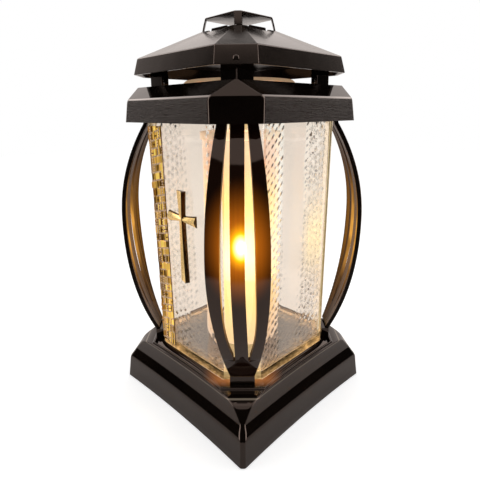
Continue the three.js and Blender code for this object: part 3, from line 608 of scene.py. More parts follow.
# Where a plain face is pebbled: a band beside one rib, and one that widens downwards
# towards the other.
def plainBands(along, shift, z):
    near = (along + shift * -0.8).ramp(0.0190, 0.0214)
    farEdge = z.ramp(0.100, 0.240, -0.0002, -0.0116, smooth=False)
    far = (farEdge - along).ramp(-0.001, 0.003)
    return higher(near, far * along.ramp(-0.0345, -0.0325))


# Where the glass is pebbled, from 0 to 1: left of the middle and at the right edge of the
# decorated face, in the plain bands elsewhere, and not at the foot or the corners.
def pebbleMask(x, y, z, onX, onY, run, shift):
    alongX = x + shift
    faceFront = higher(alongX.ramp(-0.001, 0.003, 1.0, 0.0), alongX.ramp(0.0268, 0.0298))
    right = x > 0.0
    front = y < -0.05
    flanks = right * plainBands(shift - y, shift, z) + (1.0 - right) * plainBands(y + shift, shift, z)
    lengthways = front * faceFront + (1.0 - front) * plainBands(x + shift, shift, z)
    mask = onX * flanks + onY * lengthways
    return mask * abs(run).ramp(*glassLook["bandEdge"], 1.0, 0.0) * z.ramp(*glassLook["bandTop"])


# Candle light caught in the glass: in the thick foot, in the pebbles level with the flame,
# down the cut corners, in the clear glass between tight dimples and on the slab's underside.
def caughtLight(tree, x, y, z, onX, onY, run, mask, dimple, nearBand, jitter):
    look = glassLook
    absX, absY = abs(x), abs(y)
    widest = higher(absX, absY)
    outer = higher(widest > 0.0604, (absX + absY) > 0.1005)
    foot = outer * z.ramp(*look["foot"], 1.0, 0.0, smooth=False)
    level = abs(z - look["flameHeight"]).ramp(0.0, 0.042, 1.0, 0.0)
    patch = level * abs(run - look["warmRun"]).ramp(0.006, 0.02, 1.0, 0.0) * mask
    patch = patch * dimple.ramp(0.0, 0.7, 1.0, 0.4) * onX * 0.24
    corner = ((absX + absY - z * look["taper"]) > look["cornerReach"]) * (1.0 - higher(onX, onY))
    patch = patch + corner * 0.35
    patchLight = lightOf(tree, patch, (1.0, 0.7, 0.3, 1), (1.0, 0.8, 0.4, 1), patch)
    strength = jitter.ramp(0.3, 0.6, 0.15, 0.42)
    footLight = lightOf(tree, jitter, (0.4, 0.16, 0.035, 1), (0.85, 0.52, 0.18, 1), strength)
    # painted candle light in the clear glass between tight dimples
    clearPart = nearBand * dimple.ramp(0.1, 0.5, 1.0, 0.0)
    paintedClearGlow = lightOf(tree, jitter, (0.2, 0.17, 0.13, 1), (0.3, 0.27, 0.21, 1), clearPart)
    under = widest.ramp(0.038, 0.056) * jitter.ramp(0.35, 0.65, 0.15, 0.6) + jitter.ramp(0.58, 0.72) * 0.3
    under = under * (z < 0.0442)
    caught = lightOf(tree, jitter, (0.22, 0.11, 0.04, 1), (0.6, 0.4, 0.18, 1), under)
    glow = vectorMaths(tree, "ADD", mixColour(tree, foot, patchLight, footLight), paintedClearGlow).outputs[0]
    return vectorMaths(tree, "ADD", glow, caught).outputs[0]


# Pressed glass. Dimples darken the tint and tilt the normal away from their middles.
def glassMaterial():
    look = glassLook
    material, tree = newMaterial("pressed_glass")
    vector, x, y, z = objectPoint(tree)
    onX = abs(x) > look["face"]
    onY = abs(y) > look["face"]
    run = onX * y + onY * x
    behind = onY * (y > 0.0)
    tight = (onX * (y * x.maths("SIGN", x) * -1.0) + behind * x) > look["tightFrom"]
    dimple, slopeRun, slopeUp = dimpleField(tree, run, z, tight)
    ripple = noise(tree, vector, 60.0, 1.0)
    jitter = noise(tree, vector, 260.0)
    mask = pebbleMask(x, y, z, onX, onY, run, (jitter - 0.5) * look["wander"])
    # seen from inside the wall the slopes lean the other way
    backfacing = Field(tree, node(tree, "ShaderNodeNewGeometry").outputs["Backfacing"])
    dotted = dimple * mask
    amount = dotted * (1.0 - backfacing * 2.0)
    leanRun = slopeRun * amount
    lean = combine(tree, leanRun * onY, leanRun * onX, slopeUp * amount)
    calm = bumpOf(tree, ripple * z.ramp(0.051, 0.06), 1.0, 0.00012)
    pebbled = vectorMaths(tree, "SUBTRACT", calm, lean).outputs[0]
    # the tint: warmed by painted candle light level with the flame, cool in the tight bands,
    # and darkened by painted shade in the dimples
    flameOffset = abs(z - look["flameHeight"])
    paintedFlameWarmth = flameOffset.ramp(0.0, 0.048, 1.0, 0.0) * abs(run - look["warmRun"]).ramp(0.006, 0.022, 1.0, 0.0)
    nearBand = mask * tight * z.ramp(0.12, 0.2)
    clearTint = mixColour(tree, paintedFlameWarmth * mask * onX, (0.965, 0.9, 0.83, 1), (1.0, 0.86, 0.55, 1))
    clearTint = mixColour(tree, nearBand, clearTint, (0.70, 0.78, 0.84, 1))
    # painted shade in the dimples, weaker level with the flame
    level = flameOffset.ramp(0.015, 0.075, 0.55, 1.0)
    mark = lower(dotted * (1.0 + tight * 0.5), 1.0) * (level * (0.85 + tight * 0.15))
    shade = mixColour(tree, tight, (0.06, 0.05, 0.035, 1), (0.012, 0.006, 0.002, 1))
    glass = node(tree, "ShaderNodeBsdfPrincipled", {
        "Base Color": mixColour(tree, mark, clearTint, shade),
        "Normal": vectorMaths(tree, "NORMALIZE", pebbled).outputs[0],
        "Emission Color": caughtLight(tree, x, y, z, onX, onY, run, mask, dimple, nearBand, jitter),
        "Emission Strength": 1.0, "Roughness": look["roughness"], "Metallic": 0.0, "IOR": look["index"],
        "Transmission Weight": 1.0,
    })
    # shadows and soft light pass straight through
    clear = node(tree, "ShaderNodeBsdfTransparent", {"Color": (0.95, 0.93, 0.9, 1)})
    path = node(tree, "ShaderNodeLightPath").outputs
    passing = higher(Field(tree, path["Is Shadow Ray"]), path["Is Diffuse Ray"])
    both = {0: passing, 1: glass.outputs[0], 2: clear.outputs[0]}
    return finish(material, node(tree, "ShaderNodeMixShader", both))


pressedGlass = glassMaterial()

# Golds: colours of the high spots and the grooves, roughness, metal, and the strength of the
# painted light they give off: candle light on the tins, a painted highlight on the cross's
# lit facets. The cross's painted-shade gold goes on its other facets.
goldLooks = dict(
    gold_cross=((1.0, 0.74, 0.34, 1), (0.85, 0.56, 0.2, 1), 0.12, 1.0, 0.42),
    gold_cross_painted_shade=((0.16, 0.09, 0.035, 1), (0.05, 0.025, 0.01, 1), 0.1, 1.0, 0),
    gold_tin=((0.95, 0.66, 0.42, 1), (0.8, 0.5, 0.28, 1), 0.34, 0.8, 0.34),
    warm_tin=((1.0, 0.8, 0.6, 1), (0.9, 0.66, 0.46, 1), 0.34, 0.6, 0.55),
)


# Gold: fine specks times slow clouds choose between groove and high colour.
def goldMaterial(name):
    high, low, roughness, metal, shine = goldLooks[name]
    material, tree = newMaterial(name)
    speck = placed(tree, fineDust, Scale=1100.0, Grit=0.65, Least=roughness, Most=roughness + 0.2)
    cloud = noise(tree, objectPoint(tree)[0], 90.0, 3.0)
    shade = speck["Dust"].ramp(0.3, 0.7) * cloud.ramp(0.25, 0.6, 0.5, 1.0)
    colour = mixColour(tree, shade, low, high)
    inputs = {"Base Color": colour, "Roughness": speck["Roughness"], "Metallic": metal,
              "Normal": bumpOf(tree, speck["Dust"], 0.5, 0.0002)}
    # painted light: the colour given off at the table's strength
    if shine:
        inputs["Emission Color"] = scaledColour(tree, colour, shine)
    return surface(material, inputs)


goldCross, paintedShadeCross, goldTin, warmTin = [goldMaterial(name) for name in goldLooks]
# Mosaic colours: tile tones, bead tones, the painted shade in low relief (groove), and the strength of the
# painted shine on high relief
mosaicLook = dict(dull=(0.34, 0.15, 0.02, 1), bright=(1.0, 0.66, 0.14, 1), beadDark=(0.42, 0.26, 0.13, 1),
                  beadLight=(0.95, 0.76, 0.55, 1), groove=(0.15, 0.062, 0.011, 1), shine=0.62)


# Pressed gold foil: each tile's own tone, silvery beads, a painted shade of brown where the
# relief is low, and a painted shine, given off as light, that grows with the relief.
def mosaicMaterial():
    look = mosaicLook
    material, tree = newMaterial("gold_mosaic")
    relief, tile, beaded = [
        Field(tree, node(tree, "ShaderNodeAttribute", attribute_name=label).outputs["Fac"])
        for label in ("relief", "tone", "beaded")
    ]
    speck = placed(tree, fineDust, Detail=3.0)
    bead = mixColour(tree, speck["Dust"], look["beadDark"], look["beadLight"])
    tone = mixColour(tree, beaded, mixColour(tree, tile, look["dull"], look["bright"]), bead)
    tone = mixColour(tree, relief.ramp(0.2, 0.6), look["groove"], tone)
    return surface(material, {
        "Base Color": tone, "Normal": bumpOf(tree, speck["Dust"], 0.5, 0.0003), "Metallic": 0.85,
        "Emission Color": scaledColour(tree, tone, relief.ramp(0.35, 0.8, 0.0, look["shine"])),
        "Roughness": speck["Roughness"],
    })


goldMosaic = mosaicMaterial()
# Candle film: heights in millimetres and the colour of the light there, the opacity, and
# the pale colour of the painted sheen at the rim
filmLook = dict(
    low=50, high=240, opacity=0.55, edge=(0.92, 0.72, 0.55, 1),
    stops=[(52, (0.74, 0.48, 0.31)), (70, (0.82, 0.54, 0.3)), (90, (0.94, 0.59, 0.17)),
           (110, (0.97, 0.73, 0.3)), (131, (1.08, 1.0, 0.78)), (165, (0.96, 0.68, 0.23)),
           (180, (0.9, 0.53, 0.12)), (210, (0.78, 0.43, 0.31)), (236, (0.68, 0.5, 0.45))],
)


# Milky film lit from inside: the light's colour goes by height, and a painted sheen makes
# it paler at the rim.
def filmMaterial():
    look = filmLook
    material, tree = newMaterial("candle_film")
    vector, x, y, z = objectPoint(tree)
    body = placed(tree, cloudedColour, Scale=40.0, Detail=3.0, Dark=(0.34, 0.28, 0.18, 1),
                  Light=(0.4, 0.34, 0.24, 1))
    ramp = node(tree, "ShaderNodeValToRGB", {0: z.ramp(look["low"] * mm, look["high"] * mm, smooth=False)})
    marks = ramp.color_ramp.elements
    while len(marks) < len(look["stops"]):
        marks.new(0.5)
    for mark, (height, tone) in zip(marks, look["stops"]):
        mark.position = (height - look["low"]) / (look["high"] - look["low"])
        mark.color = (*tone, 1)
    grazing = Field(tree, node(tree, "ShaderNodeLayerWeight", {"Blend": 0.5}).outputs["Facing"])
    tone = mixColour(tree, grazing.ramp(0.35, 0.85, 0.0, 0.85), ramp.outputs[0], look["edge"])
    return surface(material, {
        "Base Color": body["Colour"], "Roughness": 0.35, "Alpha": look["opacity"],
        "Emission Color": scaledColour(tree, tone, body["Cloud"].ramp(0.3, 0.7, 0.78, 0.88)),
    })


# Wax lit by its flame: the light grows from the foot to the top.
def waxMaterial():
    material, tree = newMaterial("wax")
    z = objectPoint(tree)[3]
    wax = placed(tree, cloudedColour, Dark=(0.88, 0.78, 0.56, 1), Light=(0.94, 0.87, 0.7, 1))
    top = z.ramp(0.05, 0.112, 0.15, 1.0)
    return surface(material, {
        "Base Color": wax["Colour"], "Roughness": 0.4, "Emission Strength": 0.9,
        "Emission Color": lightOf(tree, wax["Cloud"], (1.0, 0.6, 0.22, 1), (1.0, 0.7, 0.32, 1), top),
    })


# Flame: amber at its foot and paler at its tip, with a little flicker.
def flameMaterial():
    material, tree = newMaterial("flame")
    vector, x, y, z = objectPoint(tree)
    tone = mixColour(tree, z.ramp(0.118, 0.146), (1.0, 0.72, 0.3, 1), (1.0, 0.82, 0.5, 1))
    tone = mixColour(tree, noise(tree, vector, 200.0) * 0.2, tone, (1.0, 0.6, 0.2, 1))
    return surface(material, {"Base Color": (0, 0, 0, 1), "Emission Color": tone, "Emission Strength": 90.0})


# Light with no body: its strength is the 2.2 power of how far it is seen face on.
def glowMaterial():
    material, tree = newMaterial("flame_glow")
    facing = Field(tree, node(tree, "ShaderNodeLayerWeight", {"Blend": 0.5}).outputs["Facing"])
    diffuse = Field(tree, node(tree, "ShaderNodeLightPath").outputs["Is Diffuse Ray"])
    strength = (1.0 - diffuse) * (1.0 - facing) ** 2.2 * 1.6
    shine = node(tree, "ShaderNodeEmission", {"Color": (1.0, 0.78, 0.4, 1), "Strength": strength})
    return addShaders(material, node(tree, "ShaderNodeBsdfTransparent"), shine)


# Small plain things: two colours, roughness, metal and the candle light they catch
plainLooks = dict(
    seal=((0.6, 0.56, 0.48, 1), (0.72, 0.68, 0.6, 1), 0.6, 0.0, 0.5),
    wick=((0.03, 0.02, 0.015, 1), (0.12, 0.09, 0.06, 1), 0.8, 0.0, 0),
    tin=((0.6, 0.6, 0.58, 1), (0.72, 0.72, 0.7, 1), 0.3, 1.0, 0),
)


# A specked surface: the specks choose the colour, the roughness and the bump.
def plainMaterial(name):
    dark, light, roughness, metal, glow = plainLooks[name]
    material, tree = newMaterial(name)
    speck = placed(tree, fineDust, Scale=300.0, Least=roughness, Most=roughness + 0.15)
    inputs = {"Base Color": mixColour(tree, speck["Dust"], dark, light), "Roughness": speck["Roughness"],
              "Metallic": metal, "Normal": bumpOf(tree, speck["Dust"], 0.4, 0.0002)}
    if glow:
        patches = noise(tree, objectPoint(tree)[0], 120.0, 3.0).ramp(0.4, 0.62)
        inputs["Emission Color"] = mixColour(tree, patches, (0.10, 0.045, 0.015, 1), (0.8, 0.45, 0.15, 1))
        inputs["Emission Strength"] = glow
    return surface(material, inputs)


candleFilm = filmMaterial()
waxCream = waxMaterial()
flameFire = flameMaterial()
flameGlow = glowMaterial()
sealPale, wickDark, tinPlain = [plainMaterial(name) for name in plainLooks]
print("materials made")

# Base: height with the middles of the sides, the reach of the corners and the bow, which
# is what the corners stand out past the middles. The bead round the top is how far in,
# how high, and the cut. The deck and the hollow under it follow.
baseSize = dict(
    side=[(0.6, 78.5), (11, 77.8), (18, 77.5), (21, 77.3), (22, 77.0), (24, 76.0), (27, 74.3), (28.7, 73.3),
          (30, 72.75), (33, 72.3), (37, 71.8), (44, 71.2)],
    reach=[(0.6, 112.5), (8, 111.5), (15, 110.65), (20, 109.95), (22, 109.1), (24, 107.6), (38.5, 97.2),
           (39.3, 96.5), (40, 95.6), (41, 93.9), (42, 91.6), (43, 88.9), (44, 86.1)],
    bow=[(0, 2.4), (22, 1.5), (44, 1.3)], wall=3.0, footHeight=0.6, skirtHeights=(6, 11, 15, 18, 19.5, 20.5),
    coveHeights=(21.3, 43.4, 40),
    bead=[(0.3, 43.7, 16.6), (0.9, 43.8, 17.0), (1.1, 43.9, 17.2), (1.15, 44.6, 17.3), (1.5, 45.3, 17.5),
          (2.1, 45.6, 17.8), (2.7, 45.5, 18.0), (3.1, 45.0, 18.1), (3.3, 43.8, 18.1), (4.0, 43.7, 18.1),
          (4.3, 44.5, 18.0)],
    deck=[(62.7, 15.7, 46.1, 0.3), (62.6, 15.7, 42.2, 0.3), (30.0, 7.5, 42.2, 0.0)],
    hollowTop=39.4, hollowHeights=(39.3, 36, 31, 27, 24.4, 22, 10),
)


# One outer row of the base: half width at the corners, cut, height, bow and fillet. The
# cut is what takes the square's corner back to the reach.
def baseRow(height, fillet=1.2):
    bow = float(np.interp(height, *zip(*baseSize["bow"])))
    half = float(softCurve(*zip(*baseSize["side"]), height)) + bow
    cut = rootTwo * half - float(softCurve(*zip(*baseSize["reach"]), height))
    return [half, cut, height, bow, fillet, 0.0]


# The base's closed shell: out over the foot, up the skirt and cove, over the bead, down
# into the recess, and back under the deck down the inside of the wall.
def basePiece():
    low = baseRow(baseSize["footHeight"], 2.6)
    rows = [[low[0] - 3.0, low[1], 0, low[3], 2.0, 0.0], [low[0] - 0.6, low[1], 0, low[3], 2.0, 0.3], low]
    rows += [baseRow(height, 2.2) for height in baseSize["skirtHeights"]]
    rows += [baseRow(height, 4.0) for height in np.linspace(*baseSize["coveHeights"])]
    top = rows[-1]
    rows += [[top[0] - inward, cut, height, top[3], 1.4, 0.0] for inward, height, cut in baseSize["bead"]]
    rows += [[half, cut, height, 0, 0.8, rounding] for half, cut, height, rounding in baseSize["deck"]]
    middle = baseSize["deck"][-1]
    inside = [[middle[0], middle[1], baseSize["hollowTop"], 0, 0.8, 0.0]]
    for height in baseSize["hollowHeights"]:
        half, cut, _, bow, _, _ = baseRow(height)
        inside.append([half - baseSize["wall"], cut, height, bow, 0.9, 0.0])
    half, cut, _, bow, _, _ = baseRow(baseSize["footHeight"])
    inside.append([half - baseSize["wall"], cut, 0, bow, 0.9, 0.0])
    counts = dict(perSide=14, perCorner=4, arc=3)
    under = cutSquareSkin(inside, steps=2, **counts)
    grid = np.concatenate([under[:-1], cutSquareSkin(rows, steps=4, **counts)])
    return joinParts("base_body", [gridPart(grid, caps=True)])


# Rib sockets: reach from the axis and half width of the box and its hole, and heights
socketSize = dict(outer=(81.3, 74.4, 9.6), hole=(81.0, 78.2, 6.7), foot=43.8, top=54.2, holeFoot=47.6)


# Upright boxes at the corners: up the outside, over the rim and down the hole.
def socketPiece():
    rings = []
    for label, level in (("outer", "foot"), ("outer", "top"), ("hole", "top"), ("hole", "holeFoot")):
        (out, back, half), height = socketSize[label], socketSize[level]
        rings.append([(out, half, height), (back, half, height), (back, -half, height), (out, -half, height)])
    return joinParts("rib_sockets", fourTimes(*gridPart(np.array(rings), caps=True), 45))


settle(addWeights(basePiece()), basePlastic, "dark_plastic", "lantern", "base_shell")
settle(addBevel(socketPiece(), 0.45), basePlastic, "dark_plastic", "lantern")
print("base made")

# Glass: heights, half widths at foot and rim, cuts and fillets outside and inside, wall
glassSize = dict(foot=43.8, rim=251.8, floorTop=49.8, halves=(62.2, 64.9), cut=15.5, innerCut=13.8,
                 fillet=5.0, innerFillet=4.0, wall=4.0, rows=12, endGap=12, middle=30)


# The glass's half width rises in a straight line from the foot to the rim.
def glassHalf(height):
    share = (height - glassSize["foot"]) / (glassSize["rim"] - glassSize["foot"])
    return glassSize["halves"][0] + share * (glassSize["halves"][1] - glassSize["halves"][0])


# The glass's skin: the underside, up the outside, over the rim, down the inside to the
# floor. The inside is the outside less the wall.
def glassPiece():
    size = glassSize
    foot, rim, floorTop, gap = size["foot"], size["rim"], size["floorTop"], size["endGap"]

    def outer(height, rounding=0.0):
        return [glassHalf(height), size["cut"], height, 0, size["fillet"], rounding]

    def inner(height, rounding=0.0):
        return [glassHalf(height) - size["wall"], size["innerCut"], height, 0, size["innerFillet"], rounding]

    low = outer(foot + 1.5, 1.2)
    low[0] = glassHalf(foot)
    rows = [[size["middle"], 8, foot, 0, 3, 0], [glassHalf(foot) - 1.5, 15.0, foot, 0, 3, 0], low]
    rows += [outer(height) for height in np.linspace(foot + gap, rim - gap, size["rows"])]
    rows += [outer(rim, 0.8), inner(rim, 0.8)]
    rows += [inner(height) for height in np.linspace(rim - gap, floorTop + 10, size["rows"])]
    rows += [inner(floorTop, 3.0), [size["middle"], 8, floorTop, 0, 2, 0]]
    grid = cutSquareSkin(rows, steps=4, perSide=3, perCorner=2, arc=4)
    return joinParts("glass_vessel", [gridPart(grid, caps=True)])


settle(addWeights(glassPiece()), pressedGlass, "clear_glass", "lantern", "glass_body")
# Seal: half widths and cuts outside and inside, and heights
sealSize = dict(outer=(61.9, 15.4, 3), inner=(57.4, 13.6, 2.4), low=42.5, high=43.5)
sealRows = [[*sealSize[face][:2], sealSize[height], 0, sealSize[face][2], 0.3 if height == "high" else 0.0]
            for face, height in (("outer", "low"), ("outer", "high"), ("inner", "high"), ("inner", "low"))]
seal = joinParts("foot_gasket", [gridPart(cutSquareSkin(sealRows, closed=True, steps=2), closeRows=True)])
settle(seal, sealPale, "seal_rubber", "lantern", "glass_seal")
print("glass made")

# Ribs: reach and width by height, the two slits beside the middle bar, the curve across
# the rib, the wall, and the lean in degrees
ribSize = dict(
    foot=54.7, head=251.8, belly=162.0, bellyReach=105.8, endReach=81.8, headHeight=245.0, power=2.12,
    widest=150.0, width=44.8, footWidth=19.0, headWidth=28.6, crown=65.0, wall=3.2, bar=9.8, slit=7.4,
    slitWidest=135.0, slitFoot=73.5, slitHead=130.0, slitLeast=1.4, headBand=3.2, turn=-1.3, turnTop=150,
    footRows=10, slitRows=76, bevel=0.5,
)


# The reach is the belly's less the 2.12 power of the way from the belly to an end.
def ribReach(height):
    end = np.where(height < ribSize["belly"], ribSize["foot"], ribSize["headHeight"])
    away = np.abs((height - ribSize["belly"]) / (end - ribSize["belly"]))
    fall = np.minimum(1, away ** ribSize["power"])
    return ribSize["bellyReach"] - (ribSize["bellyReach"] - ribSize["endReach"]) * fall


# Half the width, which falls with the square of the way from the widest height.
def ribHalfWidth(height):
    low = height < ribSize["widest"]
    end = np.where(low, ribSize["foot"], ribSize["headHeight"])
    endWidth = np.where(low, ribSize["footWidth"], ribSize["headWidth"])
    fall = np.abs((height - ribSize["widest"]) / (end - ribSize["widest"])) ** 2
    return (ribSize["width"] - (ribSize["width"] - endWidth) * fall) / 2


# The slit narrows with a power of the way from its widest height, and is shut past its ends.
def slitWidth(height):
    low = height < ribSize["slitWidest"]
    span = np.where(low, ribSize["slitWidest"] - ribSize["slitFoot"], ribSize["slitHead"])
    away = np.abs(height - ribSize["slitWidest"]) / span
    width = ribSize["slit"] * (1 - away ** np.where(low, 3.2, 2.2))
    inside = (height >= ribSize["slitFoot"]) & (height <= ribSize["head"] - ribSize["headBand"])
    return np.where(inside, np.maximum(width, ribSize["slitLeast"]), 0.0)


# The rib's outer skin: rows up it and columns across it, at four shares of each rail and
# of the bar. The two slit columns get no faces, and close to one point past their ends.
def ribSkin():
    slitTop = ribSize["head"] - ribSize["headBand"]
    heights = np.unique(np.concatenate([
        np.linspace(ribSize["foot"], ribSize["slitFoot"], ribSize["footRows"]),
        np.linspace(ribSize["slitFoot"], slitTop, ribSize["slitRows"]),
        [ribSize["head"], ribSize["slitFoot"] - 0.01, slitTop + 0.01],
    ]))
    half, slit = ribHalfWidth(heights)[:, None], slitWidth(heights)
    bar = ribSize["bar"] / 2
    edge = bar + slit[:, None]
    rail = edge + (half - edge) * np.linspace(0, 1, 5)
    middle = np.broadcast_to(bar * np.linspace(-1, 1, 5), (len(heights), 5))
    across = np.concatenate([-rail[:, ::-1], middle, rail], 1)
    crown = ribSize["crown"] - np.sqrt(ribSize["crown"] ** 2 - across**2)
    points = np.stack([ribReach(heights)[:, None] - crown, across, heights[:, None] + 0 * across], -1)
    index = np.arange(across.size).reshape(across.shape)
    shut = slit <= 0
    index[shut, 4] = index[shut, 5]
    index[shut, 10] = index[shut, 9]
    column = np.array([c for c in range(14) if c not in (4, 9)])
    low, high = index[:-1], index[1:]
    quads = np.stack([low[:, column], low[:, column + 1], high[:, column + 1], high[:, column]], -1)
    return points, quads.transpose(1, 0, 2).reshape(-1, 4).tolist()


# A rib in its corner: the skin turned to the diagonal, leaning a little, with a wall.
def ribPiece(name, quarter):
    points, faces = ribSkin()
    lean = ribSize["turn"] * smoothStep(ribSize["foot"], ribSize["turnTop"], points[..., 2])
    piece = makePiece(name, turned(turned(points, 45 + 90 * quarter), lean), faces)
    wall = piece.modifiers.new("wall", "SOLIDIFY")
    wall.thickness = ribSize["wall"] * mm
    wall.offset = -1
    wall.use_even_offset = True
    wall.material_offset_rim = 1
    return addBevel(piece, ribSize["bevel"], 3, 35)


for quarter, place in enumerate(placeNames):
    plastic = frontRibPlastic if place == "right_front" else sideRibPlastic
    piece = settle(ribPiece("bowed_rib_" + place, quarter), plastic, "rib_plastic", "lantern", "rib_" + place)
    piece.data.materials.append(ribEdge)

# Ring on the glass rim: a flat plate with a lip down inside the glass
ringSize = dict(overhang=2.6, cut=16.6, low=252.1, high=254.6, inner=(57.7, 13.0),
                lip=(59.3, 13.4, 245.2), step=59.6)


# The ring's section, carried round the axis: out, up, in, down the lip and back.
def ringPiece():
    size = ringSize
    half = glassHalf(glassSize["rim"]) + size["overhang"]
    inHalf, inCut = size["inner"]
    lipHalf, lipCut, lipFoot = size["lip"]
    rows = [
        [half, size["cut"], size["low"], 0, 3, 0.3], [half, size["cut"], size["high"], 0, 3, 0.6],
        [inHalf, inCut, size["high"], 0, 2, 0.6], [inHalf, inCut, lipFoot, 0, 2, 0.4],
        [lipHalf, lipCut, lipFoot, 0, 2, 0.4], [size["step"], lipCut, size["low"], 0, 2, 0.3],
    ]
    grid = cutSquareSkin(rows, closed=True, steps=3, perSide=4, perCorner=2)
    return joinParts("rim_ring", [gridPart(grid, closeRows=True)])


settle(addWeights(ringPiece()), basePlastic, "dark_plastic", "lantern", "top_ring")
print("ribs made")

# Gold strip: heights, width, thickness, gap to the glass, bars across and height of a
# band, bead spacing, and the shares of bead rows, bead columns and low cells
stripSize = dict(low=49.6, high=242.8, width=18.5, thick=1.2, gap=0.3, bars=6, band=6.6, slant=0.22,
                 columns=90, rows=920, beadPitch=2.2, beadRows=0.74, beadColumns=0.42, lowCells=0.38)


# The strip's relief, tone and beads over the share across it and the height. Cells lie
# in bands that slant. By chance a cell is a wide block that runs on into the next, a bar,
# a bar cut across, or a thin bar. A groove is a smooth step of the distance to the cell's
# edge, and beads are a sine across times a cosine down.
def stripRelief(share, height):
    size = stripSize
    barWidth, band, width = size["width"] / size["bars"], size["band"], size["width"]
    across = share * size["bars"]
    down = (size["high"] - height + size["slant"] * width * share) / band
    i, j = np.floor(across), np.floor(down)
    f, g = across - i, down - j
    kind = chanceOf(i * 12.9898 + j * 78.233, 43758.5453)
    kindBefore = chanceOf((i - 1) * 12.9898 + j * 78.233, 43758.5453)
    gapRight = np.where(kind < 0.35, 9.0, (1 - f) * barWidth)
    gapLeft = np.where(kindBefore < 0.35, 9.0, f * barWidth)
    gapX = np.where(kind > 0.62, 0.85 - np.abs(f - 0.5) * barWidth, np.minimum(gapRight, gapLeft))
    gapY = np.where((kind > 0.35) & (kind < 0.5), np.abs(g - 0.55) * band, 9.0)
    groove = smoothStep(0.3, 0.85, np.minimum(gapX, gapY))
    rowChance = chanceOf(i * 21.17 + np.round(down) * 5.371, 9631.17)
    beadRow = (1 - smoothStep(0.55, 0.95, np.minimum(g, 1 - g) * band)) * (rowChance < size["beadRows"])
    beadColumn = 1 - smoothStep(0.45, 0.8, np.minimum(f, 1 - f) * barWidth)
    columnChance = chanceOf(np.round(across) * 9.71 + np.floor(j / 2) * 33.37, 5127.31)
    beadColumn = beadColumn * (columnChance < size["beadColumns"])
    beaded = np.maximum(beadRow, beadColumn)
    turn = 2 * math.pi / size["beadPitch"]
    beads = 0.5 + 0.5 * np.sin(share * width * turn + j * 2) * np.cos(g * band * turn)
    groove = groove * np.where(chanceOf(i * 17.23 + j * 51.71 + 1.3, 7321.77) < size["lowCells"], 0.45, 1.0)
    relief = (0.15 + 0.85 * groove) * (1 - beaded) + beaded * (0.1 + 0.75 * beads)
    tone = chanceOf(i * 39.346 + j * 11.135 + 2.0, 24634.6345)
    return np.clip(relief, 0, 1), np.clip(0.2 + 0.9 * tone - 0.4 * (i < 2), 0, 1), beaded


# The strip: a grid over the glass, standing out by its relief, closed with a flat back.
def stripPiece():
    size = stripSize
    height, share = np.meshgrid(np.linspace(size["low"], size["high"], size["rows"]),
                                np.linspace(0, 1, size["columns"]), indexing="ij")
    relief, tone, beaded = stripRelief(share, height)
    rim = smoothStep(0, 0.4, np.minimum(share, 1 - share) * size["width"])
    x = size["gap"] - (glassHalf(height) - rootTwo * glassSize["cut"]) + size["width"] * share
    back = -(glassHalf(height) + size["gap"])
    front = np.stack([x, back - size["thick"] * relief * (0.3 + 0.7 * rim), height], -1).reshape(-1, 3)
    index = np.arange(height.size).reshape(height.shape)
    quads = np.stack([index[:-1, :-1], index[:-1, 1:], index[1:, 1:], index[1:, :-1]], -1).reshape(-1, 4)
    ring = np.concatenate([index[0, :-1], index[:-1, -1], index[-1, :0:-1], index[:0:-1, 0]])
    behind = np.stack([x, back, height], -1).reshape(-1, 3)[ring]
    k = height.size + np.arange(len(ring))
    sides = np.stack([np.roll(ring, -1), ring, k, np.roll(k, -1)], -1)
    piece = joinParts("mosaic_strip", [(np.concatenate([front, behind]), [quads, sides, k[None, ::-1]])])
    for label, values in (("relief", relief * rim), ("beaded", beaded), ("tone", tone)):
        held = piece.data.attributes.new(label, "FLOAT", "POINT")
        held.data.foreach_set("value", np.concatenate([values.ravel(), np.full(len(ring), 0.5)]))
    return piece


settle(stripPiece(), goldMosaic, "gold_metal", "lantern", "gold_strip")

# Cross: middle height, sideways place, foot and head of each bar, widths at foot, middle
# and head, each section as share of the half width and depth, and the section's facets
# that get the gold with a painted highlight, the rest getting the painted-shade copy
crossSize = dict(
    height=171, sideways=-1.0, flare=1.4, leanRise=208, leanOut=2.7, bevel=0.2,
    stem=dict(ends=(-53.3, 22.7), widths=(9.6, 7.0, 10.2), bright=(1,),
              section=[(-1, 0), (-1, -1.6), (0.66, -3.6), (0.76, -3.6), (1, -1.4), (1, 0)]),
    arms=dict(ends=(-17.4, 17.4), widths=(9.6, 5.2, 9.6), bright=(2, 3),
              section=[(1, 0), (0.97, -1.3), (0.78, -1.9), (0, -3.5), (-0.8, -1.8), (-1, 0)]),
)


# A bar of the cross: its width grows from the middle to each end with the 1.4 power of
# the way there, and its section scales with half that width. Gives its part and, for
# each face, 0 where it gets the gold with a painted highlight and 1 where it gets the
# gold's painted-shade copy.
def crossBar(label):
    bar = crossSize[label]
    (foot, head), (footWidth, middleWidth, headWidth) = bar["ends"], bar["widths"]
    share = np.linspace(0, 1, 25)
    middle = -foot / (head - foot)
    way = np.where(share < middle, (middle - share) / middle, (share - middle) / (1 - middle))
    more = np.where(share < middle, footWidth - middleWidth, headWidth - middleWidth)
    half = (middleWidth + more * way**crossSize["flare"])[:, None] / 2
    section = np.array(bar["section"])
    along = np.broadcast_to((foot + (head - foot) * share)[:, None], (25, 6))
    side, depth = half * section[:, 0], np.broadcast_to(section[:, 1], (25, 6))
    grid = np.stack([side, depth, along] if label == "stem" else [along, depth, side], -1)
    # faces off the lit list get painted shade
    dark = np.tile(~np.isin(np.arange(6), bar["bright"]), 24).astype(int)
    return gridPart(grid, caps=True), [*dark, 0, 1]


